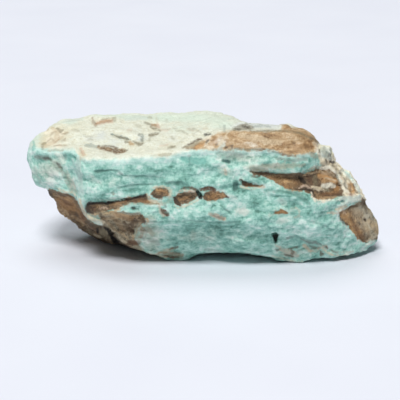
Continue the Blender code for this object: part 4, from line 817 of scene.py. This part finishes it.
def plates(points):
    """Flat chips: each cell of broken rock is tilted its own way, so that neighbours meet in steps."""
    scaled = points / np.array(PLATE_SIZE)
    heights = np.empty(len(points))
    for i, point in enumerate(map(Vector, scaled)):
        centre = noise.voronoi(point)[1][0]
        tilt = noise.cell_vector(centre * PLATE_APART)
        heights[i] = (point - centre).dot(tilt) - PLATE_LEAN * sum(point - centre)
    return PLATE_HEIGHT * heights


def in_view(points):
    """Where points show in the view, as px and py."""
    off = points - VIEW_TARGET
    sine, cosine = math.sin(VIEW_ELEVATION), math.cos(VIEW_ELEVATION)
    depth = VIEW_DISTANCE + off[:, 1] * cosine - off[:, 2] * sine
    up = off[:, 1] * sine + off[:, 2] * cosine
    middle = VIEW_PIXELS / 2.0
    return np.stack([middle + VIEW_FOCAL * off[:, 0] / depth, middle - VIEW_FOCAL * up / depth], axis=1)


def facing(normals):
    """How squarely each part of the surface faces the camera."""
    return -normals[:, 1] * math.cos(VIEW_ELEVATION) + normals[:, 2] * math.sin(VIEW_ELEVATION)


def strayed(points, places):
    """Places in the view, each moved a little by noise, so that areas get ragged edges."""
    for across, down in RAGGED:
        places = places + np.stack([lumps(points, across), lumps(points, down)], axis=1)
    behind = 1.0
    for axis, (begins, full) in enumerate(BEHIND_CREST):
        behind = behind * smooth_step(begins, full, points[:, axis])
    for axis, kind in enumerate(CREST_STRAY):
        places[:, axis] += lumps(points, kind, behind)
    return places


def placed(points):
    """Where points show in the view: exactly, strayed for the areas, and less so for finer marks."""
    view = in_view(points)
    ragged = strayed(points, view)
    return view, ragged, MARK_STRAY * ragged + (1.0 - MARK_STRAY) * view


def inside_spine(places, spine):
    """How far inside a chain of tapering capsules each place is; negative outside."""
    best = np.full(len(places), -np.inf)
    x, y = places[:, 0], places[:, 1]
    for (x0, y0, r0), (x1, y1, r1) in zip(spine, spine[1:]):
        dx, dy = x1 - x0, y1 - y0
        along = np.clip(((x - x0) * dx + (y - y0) * dy) / (dx * dx + dy * dy), 0.0, 1.0)
        off = np.hypot(x - x0 - dx * along, y - y0 - dy * along)
        best = np.maximum(best, r0 + (r1 - r0) * along - off)
    return best


def inside_area(places, outline):
    """How far inside a closed outline each place is; negative outside."""
    nearest = np.full(len(places), np.inf)
    inside = np.zeros(len(places), dtype=bool)
    x, y = places[:, 0], places[:, 1]
    for (x0, y0), (x1, y1) in zip(outline, outline[1:] + outline[:1]):
        dx, dy = x1 - x0, y1 - y0
        along = np.clip(((x - x0) * dx + (y - y0) * dy) / (dx * dx + dy * dy), 0.0, 1.0)
        nearest = np.minimum(nearest, np.hypot(x - x0 - dx * along, y - y0 - dy * along))
        crosses = (y0 > y) != (y1 > y)
        if y1 != y0:
            inside ^= crosses & (x < x0 + (y - y0) * dx / (y1 - y0))
    return np.where(inside, nearest, -nearest)


def blobs(places, spots):
    """The sum of soft spots, each (px, py, reach across, reach down, strength)."""
    total = np.zeros(len(places))
    for px, py, reach_x, reach_y, strength in spots:
        square = ((places[:, 0] - px) / reach_x) ** 2 + ((places[:, 1] - py) / reach_y) ** 2
        total += strength * np.exp(-square)
    return total


class Surface:
    """A triangle mesh as numpy arrays, in millimetres."""

    def __init__(self, mesh):
        self.mesh = mesh
        self.points = np.empty(len(mesh.vertices) * 3)
        mesh.vertices.foreach_get("co", self.points)
        self.points = self.points.reshape(-1, 3) / MM
        edges = np.empty(len(mesh.edges) * 2, dtype=np.int64)
        mesh.edges.foreach_get("vertices", edges)
        edges = edges.reshape(-1, 2)
        self.ends = np.concatenate([edges[:, 0], edges[:, 1]])
        self.others = np.concatenate([edges[:, 1], edges[:, 0]])
        self.neighbours = np.maximum(np.bincount(self.ends, minlength=len(self.points)), 1)

    def around(self, values):
        """The mean over each point's neighbours."""
        count = len(values)
        columns = values.reshape(count, -1)
        sums = [
            np.bincount(self.ends, weights=column[self.others], minlength=count)
            for column in columns.T
        ]
        return (np.stack(sums, axis=1) / self.neighbours[:, None]).reshape(values.shape)

    def smoothed(self, values, passes):
        for _ in range(passes):
            values = (values + self.around(values)) / 2.0
        return values

    def write(self):
        self.mesh.vertices.foreach_set("co", (self.points * MM).ravel())
        self.mesh.update()

    def normals(self):
        self.write()
        normals = np.empty(len(self.points) * 3)
        self.mesh.vertex_normals.foreach_get("vector", normals)
        return normals.reshape(-1, 3)

    def soft_normals(self, passes):
        """Unit normals, evened out with their neighbours."""
        normals = self.smoothed(self.normals(), passes)
        return normals / np.linalg.norm(normals, axis=1)[:, None]


def remeshed(node):
    """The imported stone's mesh, in even small faces."""
    copy = bpy.data.objects.new("remesh", node.data.copy())
    bpy.context.scene.collection.objects.link(copy)
    grid = copy.modifiers.new("grid", "REMESH")
    grid.mode = "VOXEL"
    grid.voxel_size = VOXEL * MM
    evaluated = copy.evaluated_get(bpy.context.evaluated_depsgraph_get())
    mesh = bpy.data.meshes.new_from_object(evaluated)
    bpy.data.objects.remove(copy)
    mesh.materials.clear()
    return mesh


def host_area(places, front):
    """How far each point is inside the host rock of the front, in mm, and how deep that lies."""
    inside = np.full(len(places), OUTSIDE)
    depth = np.zeros(len(places))
    for sunk, outline in HOST_AREAS.values():
        distance = inside_area(places, outline) * PIXEL_SIZE
        inside = np.maximum(inside, distance)
        depth = np.maximum(depth, sunk * smooth_step(*HOST_EDGE, distance))
    return np.where(front, inside, OUTSIDE), np.where(front, depth, 0.0)


def mark_relief(places, front):
    """How far the marks raise or sink each point, in mm."""
    rise = np.zeros(len(places))
    for _, _, height, spine in MARKS:
        if height:
            rise += height * smooth_step(*CARVED_EDGE, inside_spine(places, spine))
    return np.where(front, rise, 0.0)


def laid_on(places, front):
    """The marks laid over one another: how far inside them points are, in mm, their paint and its cover."""
    inside = np.full(len(places), OUTSIDE)
    paint = np.zeros((len(places), 3))
    covering = np.zeros(len(places))
    for name, cover, _, spine in MARKS:
        colour = np.array(linear(PAINTS[name])[:3])
        distance = inside_spine(places, spine)
        deeper = smooth_step(*OVERLAP_EDGE, distance - inside)
        over = np.maximum(smooth_step(*PAINT_EDGE, distance), deeper)
        under = covering * smooth_step(*UNDER_EDGE, inside)
        both = under + cover - under * cover
        kept = (under * (1.0 - cover))[:, None]
        blended = (paint * kept + colour * cover) / both[:, None]
        paint += over[:, None] * (blended - paint)
        covering += over * (both - covering)
        inside = np.maximum(inside, distance)
    return np.where(front, np.maximum(inside * PIXEL_SIZE, OUTSIDE), OUTSIDE), paint, covering


def broken_relief(points, normals):
    """The layers, breaks, plates and grain of the rock at each point, in mm."""
    bent = points.copy()
    bent[:, 2] += lumps(points, WARP)
    top = smooth_step(*TOP, normals[:, 2])
    flat = (1.0 - TOP_CALM * top) * (lumps(bent, LAYERS) + plates(bent))
    return flat + (1.0 - TOP_BREAKS_CALM * top) * lumps(bent, BREAKS) + lumps(points, GRAIN)


def break_surface(mesh, low, high):
    """Smooths the facets away, then adds the broken relief, swells and marks, inside the CAD box."""
    stone = Surface(mesh)
    stone.points = stone.smoothed(stone.points, SHAPE_PASSES)
    normals = stone.soft_normals(RELIEF_NORMAL_PASSES)
    points = stone.points
    view, places, finer = placed(points)
    front = facing(normals) > CARVED_FROM
    relief = broken_relief(points, normals)
    relief *= 1.0 - smooth_step(*CALMED, facing(normals)) * blobs(view, CALMS)
    on_rim = np.where(front, smooth_step(*RIM_EDGE, inside_area(places, RIM_AREA)), 0.0)
    relief += lumps(points, RIM_LUMPS, on_rim)
    relief += blobs(view, SWELLS)
    relief -= host_area(places, front)[1]
    relief += mark_relief(finer, front)
    stone.points = np.clip(points + normals * relief[:, None], low, high)
    stone.write()


def hidden_host(points, normals, up):
    """How far each point of the unseen sides is inside host rock, in mm."""
    on_back = np.full(len(points), OUTSIDE)
    for spine in BACK_HOST.values():
        on_back = np.maximum(on_back, inside_spine(points[:, [0, 2]], spine))
    on_back = np.where(normals[:, 1] > BACK_FROM, on_back, OUTSIDE)
    lenses = lumps(points, LENSES) - LENS_GAP
    leftwards = smooth_step(*LEFTWARDS, points[:, 0])
    # Host rock on the underside, also as painted shade beneath the stone.
    lenses += smooth_step(*BELOW, up) * (BELOW_HOST_AND_SHADE + BELOW_LEFT_HOST * leftwards)
    return np.maximum(on_back, lenses)


def minerals(points, places, normals, up, front):
    """How far each point is inside the host rock, the crust, the tan rock and the rim, in mm."""
    edge = np.array(CRUST_EDGE)
    above_edge = (np.interp(places[:, 0], edge[:, 0], edge[:, 1]) - places[:, 1]) * PIXEL_SIZE
    tan = np.full(len(points), OUTSIDE)
    for outline in TAN_AREAS.values():
        tan = np.maximum(tan, inside_area(places, outline) * PIXEL_SIZE)
    return {
        "host": np.where(front, host_area(places, front)[0], hidden_host(points, normals, up)),
        "crust": np.where(front, above_edge, (up - CRUST_UP) * CRUST_FADE),
        "tan": np.where(front, tan, OUTSIDE),
        "rim": np.where(front, inside_area(places, RIM_AREA) * PIXEL_SIZE, OUTSIDE),
    }


def soft_spots(points, places, front):
    """The strength of each kind of soft spot; the unseen sides get a steady value and broad patches."""
    patches = lumps(points, PATCHES)
    turns = {"rust": patches, "buff": -patches}
    return {
        name: np.where(front, blobs(places, spots), unseen + turns.get(name, 0.0))
        for name, (spots, unseen) in SPOTS.items()
    }


def paint(stone):
    """Stores where each mineral lies, as numbers that the material reads at every point."""
    points = stone.points
    normals = stone.soft_normals(PAINT_NORMAL_PASSES)
    broad = stone.smoothed(normals, BROAD_PASSES)
    front = facing(broad) > PAINTED_FROM
    _, places, finer = placed(points)
    values = minerals(points, places, normals, broad[:, 2], front)
    values.update(soft_spots(points, places, front))
    # Curvature, from which the material paints light on bumps and shade in dips.
    values["convex"] = ((points - stone.smoothed(points, BUMP_PASSES)) * normals).sum(axis=1)
    values["marked"], marks_paint, values["covering"] = laid_on(finer, front)
    for name, value in values.items():
        stored = stone.mesh.attributes.new(name, "FLOAT", "POINT")
        stored.data.foreach_set("value", value.astype(np.float32))
    stored = stone.mesh.attributes.new("marks", "FLOAT_COLOR", "POINT")
    with_alpha = np.concatenate([marks_paint, np.ones((len(points), 1))], axis=1)
    stored.data.foreach_set("color", with_alpha.astype(np.float32).ravel())


class Nodes:
    """Adds shader nodes to one material; a value is a number, a colour or another node's output."""

    def __init__(self, name):
        self.material = bpy.data.materials.new(name)
        self.material.use_nodes = True
        self.tree = self.material.node_tree
        self.shader = self.tree.nodes["Principled BSDF"]
        self.place = self.add("ShaderNodeTexCoord").outputs["Object"]
        self.made = {}

    def add(self, kind, inputs=None, **settings):
        node = self.tree.nodes.new(kind)
        for name, value in settings.items():
            setattr(node, name, value)
        for name, value in (inputs or {}).items():
            self.put(node.inputs[name], value)
        return node

    def put(self, socket, value):
        if isinstance(value, bpy.types.NodeSocket):
            self.tree.links.new(value, socket)
        else:
            socket.default_value = value

    def math(self, operation, *values):
        node = self.add("ShaderNodeMath", operation=operation)
        for socket, value in zip(node.inputs, values):
            self.put(socket, value)
        return node.outputs[0]

    def product(self, first, second):
        return self.math("MULTIPLY", first, second)

    def total(self, *values):
        result = values[0]
        for value in values[1:]:
            result = self.math("ADD", result, value)
        return result

    def noise(self, size, detail, stretch=EVEN, roughness=0.6):
        """Noise about 0, with lumps of size mm; a stretch above 1 makes them shorter that way."""
        moved = self.add("ShaderNodeMapping", {"Vector": self.place, "Scale": stretch})
        texture = self.add("ShaderNodeTexNoise", {
            "Vector": moved.outputs[0], "Scale": 1.0 / (size * MM),
            "Detail": detail, "Roughness": roughness,
        })
        return self.math("SUBTRACT", texture.outputs["Fac"], 0.5)

    def source(self, name):
        """A noise, the ragged tone, or what paint() stored on the surface; each is made once."""
        if name not in self.made:
            if name in NOISES:
                self.made[name] = self.noise(*NOISES[name])
            elif name == "ragged":
                self.made[name] = self.tone(name)
            else:
                self.made[name] = self.add("ShaderNodeAttribute", attribute_name=name).outputs["Fac"]
        return self.made[name]

    def weighed(self, middling, weights):
        """The middling value, plus each source times its weight."""
        parts = [self.product(self.source(name), weight) for name, weight in weights.items()]
        return self.total(middling, *parts)

    def tone(self, name):
        return self.weighed(*TONES[name])

    def share(self, name, strength=1.0):
        """0 where the named share begins and strength where it is full, easing between them."""
        weights, begins, full = SHARES[name]
        node = self.add("ShaderNodeMapRange", {
            "Value": self.weighed(0.0, weights), "From Min": begins, "From Max": full,
        }, interpolation_type="SMOOTHSTEP")
        return self.product(node.outputs["Result"], strength)

    def mix(self, factor, first, second, blend="MIX"):
        node = self.add("ShaderNodeMix", data_type="RGBA", blend_type=blend)
        self.put(node.inputs[0], factor)
        self.put(node.inputs[6], first if isinstance(first, bpy.types.NodeSocket) else linear(first))
        self.put(node.inputs[7], second if isinstance(second, bpy.types.NodeSocket) else linear(second))
        return node.outputs[2]

    def colours(self, value, colours):
        """A ramp through evenly spaced colours, from the darkest tone to the lightest."""
        node = self.add("ShaderNodeValToRGB", {"Fac": value})
        stretch = node.color_ramp
        low, high = RAMP
        step = (high - low) / (len(colours) - 1)
        stretch.elements[0].position, stretch.elements[0].color = low, linear(colours[0])
        stretch.elements[1].position, stretch.elements[1].color = high, linear(colours[-1])
        for i, colour in enumerate(colours[1:-1], 1):
            stretch.elements.new(low + i * step).color = linear(colour)
        return node.outputs["Color"]


def green_colour(n):
    """Green chalcedony, greyer in places."""
    tone = n.tone("green")
    return n.mix(n.share("grey", strength=0.85), n.colours(tone, GREENS), n.colours(tone, GREY_GREENS))


def crust_colour(n):
    """The cream crust on top, with its moss, ash, rust and flecks."""
    colour = n.colours(n.tone("crust"), CRUSTS)
    for name, strength, coat in CRUST_COATS:
        colour = n.mix(n.share(name, strength), colour, coat)
    return colour


def tan_colour(n):
    """Tan rock, rustier and paler in places."""
    tone = n.tone("tan")
    colour = n.mix(n.share("rust", strength=0.6), n.colours(tone, TANS), n.colours(tone, RUSTY_HOSTS))
    return n.mix(n.share("buff", strength=0.6), colour, n.colours(tone, PALES))


def rim_colour(n):
    """The pale speckled rim at the right."""
    tone = n.tone("rim")
    colour = n.mix(n.share("rust", strength=0.9), n.colours(tone, RIMS), n.colours(tone, RUSTY_HOSTS))
    return n.mix(n.share("mossy rim"), colour, n.colours(tone, GREY_GREENS))


def host_colour(n):
    """Brown host rock, rustier and paler in places."""
    tone = n.tone("host")
    colour = n.mix(n.share("rust"), n.colours(tone, HOSTS), n.colours(tone, RUSTY_HOSTS))
    return n.mix(n.share("buff"), colour, n.colours(tone, BUFF_HOSTS))


def with_marks(n, colour):
    """The painted marks over the colour, thinner where they are mottled."""
    paint = n.add("ShaderNodeAttribute", attribute_name="marks").outputs["Color"]
    thickness = n.total(MARK_THICKNESS, n.share("mottled", strength=MARK_MOTTLING))
    covering = n.product(n.source("covering"), thickness)
    return n.mix(n.math("MINIMUM", n.product(n.share("in mark"), covering), 1.0), colour, paint)


def stone_material():
    """Green chalcedony under a cream crust, with tan and brown host rock where the surface says."""
    n = Nodes("chrysoprase_stone")
    colour = n.mix(n.share("fringe", strength=0.6), green_colour(n), AQUA)
    colour = n.mix(n.share("in crust"), colour, crust_colour(n))
    colour = n.mix(n.share("in tan"), colour, tan_colour(n))
    colour = n.mix(n.share("in rim"), colour, rim_colour(n))
    halo = n.product(n.share("near host"), n.share("halo"))
    colour = n.mix(n.product(halo, HALO), colour, PALES[1])
    in_host = n.share("in host")
    colour = n.mix(in_host, colour, host_colour(n))
    # Painted shade: the dips of the surface are darkened with brown.
    colour = n.mix(n.share("cavity_shade", strength=0.25), colour, HOSTS[1], "MULTIPLY")
    n.put(n.shader.inputs["Base Color"], with_marks(n, colour))
    duller = n.product(in_host, HOST_ROUGHNESS)
    uneven = n.product(n.source("fine"), FINE_ROUGHNESS)
    n.put(n.shader.inputs["Roughness"], n.total(ROUGHNESS, duller, uneven))
    n.shader.inputs["IOR"].default_value = IOR
    bump = n.add("ShaderNodeBump", {"Height": n.tone("bump"), "Strength": 0.6, "Distance": 0.3 * MM})
    n.put(n.shader.inputs["Normal"], bump.outputs["Normal"])
    return n.material


def thinned(piece):
    """Brings the surface down to MOST_TRIANGLES, losing the flattest ones."""
    triangles = sum(len(face.vertices) - 2 for face in piece.data.polygons)
    if triangles <= MOST_TRIANGLES:
        return
    spared = facing(Surface(piece.data).normals()) > SPARED_FROM
    group = piece.vertex_groups.new(name="thinning")
    for weight, chosen in zip(THINNING, (spared, ~spared)):
        group.add(np.nonzero(chosen)[0].tolist(), weight, "REPLACE")
    thin = piece.modifiers.new("thin", "DECIMATE")
    thin.vertex_group = group.name
    thin.ratio = MOST_TRIANGLES / triangles
    evaluated = piece.evaluated_get(bpy.context.evaluated_depsgraph_get())
    mesh = bpy.data.meshes.new_from_object(evaluated)
    piece.modifiers.clear()
    piece.vertex_groups.clear()
    piece.data = mesh


def make_stone(node, low, high):
    """The stone's surface, kept inside the CAD box of low and high, in mm."""
    mesh = remeshed(node)
    mesh.name = "chrysoprase_surface"
    break_surface(mesh, low, high)
    piece = bpy.data.objects.new("chrysoprase_surface", mesh)
    bpy.context.scene.collection.objects.link(piece)
    thinned(piece)
    thin = Surface(piece.data)
    thin.points = np.clip(thin.points, low, high)
    thin.write()
    paint(thin)
    piece.data.materials.append(stone_material())
    piece.data.shade_smooth()
    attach(piece, "root")
    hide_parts(NODE)


def make_floor():
    """A wide pale sheet with the faintest unevenness."""
    bpy.ops.mesh.primitive_plane_add(size=FLOOR_SIZE)
    floor = bpy.context.object
    floor.name = "floor"
    n = Nodes("studio_floor")
    tone = n.total(0.5, n.noise(size=60.0, detail=2.0))
    n.put(n.shader.inputs["Base Color"], n.colours(tone, FLOORS))
    n.shader.inputs["Roughness"].default_value = 0.9
    n.shader.inputs["Specular IOR Level"].default_value = 0.0
    floor.data.materials.append(n.material)


def make_lamp(name, place, size, power):
    """A square area light, aimed at the stone."""
    data = bpy.data.lights.new(name, "AREA")
    data.size = size
    data.energy = power
    light = bpy.data.objects.new(name, data)
    light.location = place
    light.rotation_mode = "QUATERNION"
    light.rotation_quaternion = (Vector(LIGHT_AIM) - Vector(place)).to_track_quat("-Z", "Y")
    bpy.context.scene.collection.objects.link(light)


def make_studio():
    scene = bpy.context.scene
    scene.view_settings.view_transform = "Standard"
    world = bpy.data.worlds.new("studio")
    world.use_nodes = True
    background = world.node_tree.nodes["Background"]
    background.inputs["Color"].default_value = WORLD_COLOUR
    background.inputs["Strength"].default_value = WORLD_STRENGTH
    scene.world = world
    make_lamp("key", *KEY_LIGHT)
    make_lamp("overhead", *OVERHEAD_LIGHT)


def make_camera():
    data = bpy.data.cameras.new("camera")
    data.lens = LENS
    data.sensor_width = SENSOR
    data.clip_start = CLIP_START
    camera = bpy.data.objects.new("camera", data)
    ahead = Vector((0.0, math.cos(VIEW_ELEVATION), -math.sin(VIEW_ELEVATION)))
    camera.location = (Vector(VIEW_TARGET) - ahead * VIEW_DISTANCE) * MM
    camera.rotation_mode = "QUATERNION"
    camera.rotation_quaternion = ahead.to_track_quat("-Z", "Y")
    bpy.context.scene.collection.objects.link(camera)
    bpy.context.scene.camera = camera


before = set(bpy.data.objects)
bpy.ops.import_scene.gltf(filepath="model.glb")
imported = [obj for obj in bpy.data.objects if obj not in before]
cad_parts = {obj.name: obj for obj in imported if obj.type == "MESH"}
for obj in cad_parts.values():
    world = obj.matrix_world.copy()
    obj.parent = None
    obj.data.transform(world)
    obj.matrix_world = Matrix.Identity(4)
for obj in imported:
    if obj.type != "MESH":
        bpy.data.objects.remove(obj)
cad_low, cad_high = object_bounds()
make_stone(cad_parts[NODE], np.array(cad_low) / MM, np.array(cad_high) / MM)
make_floor()
make_studio()
make_camera()
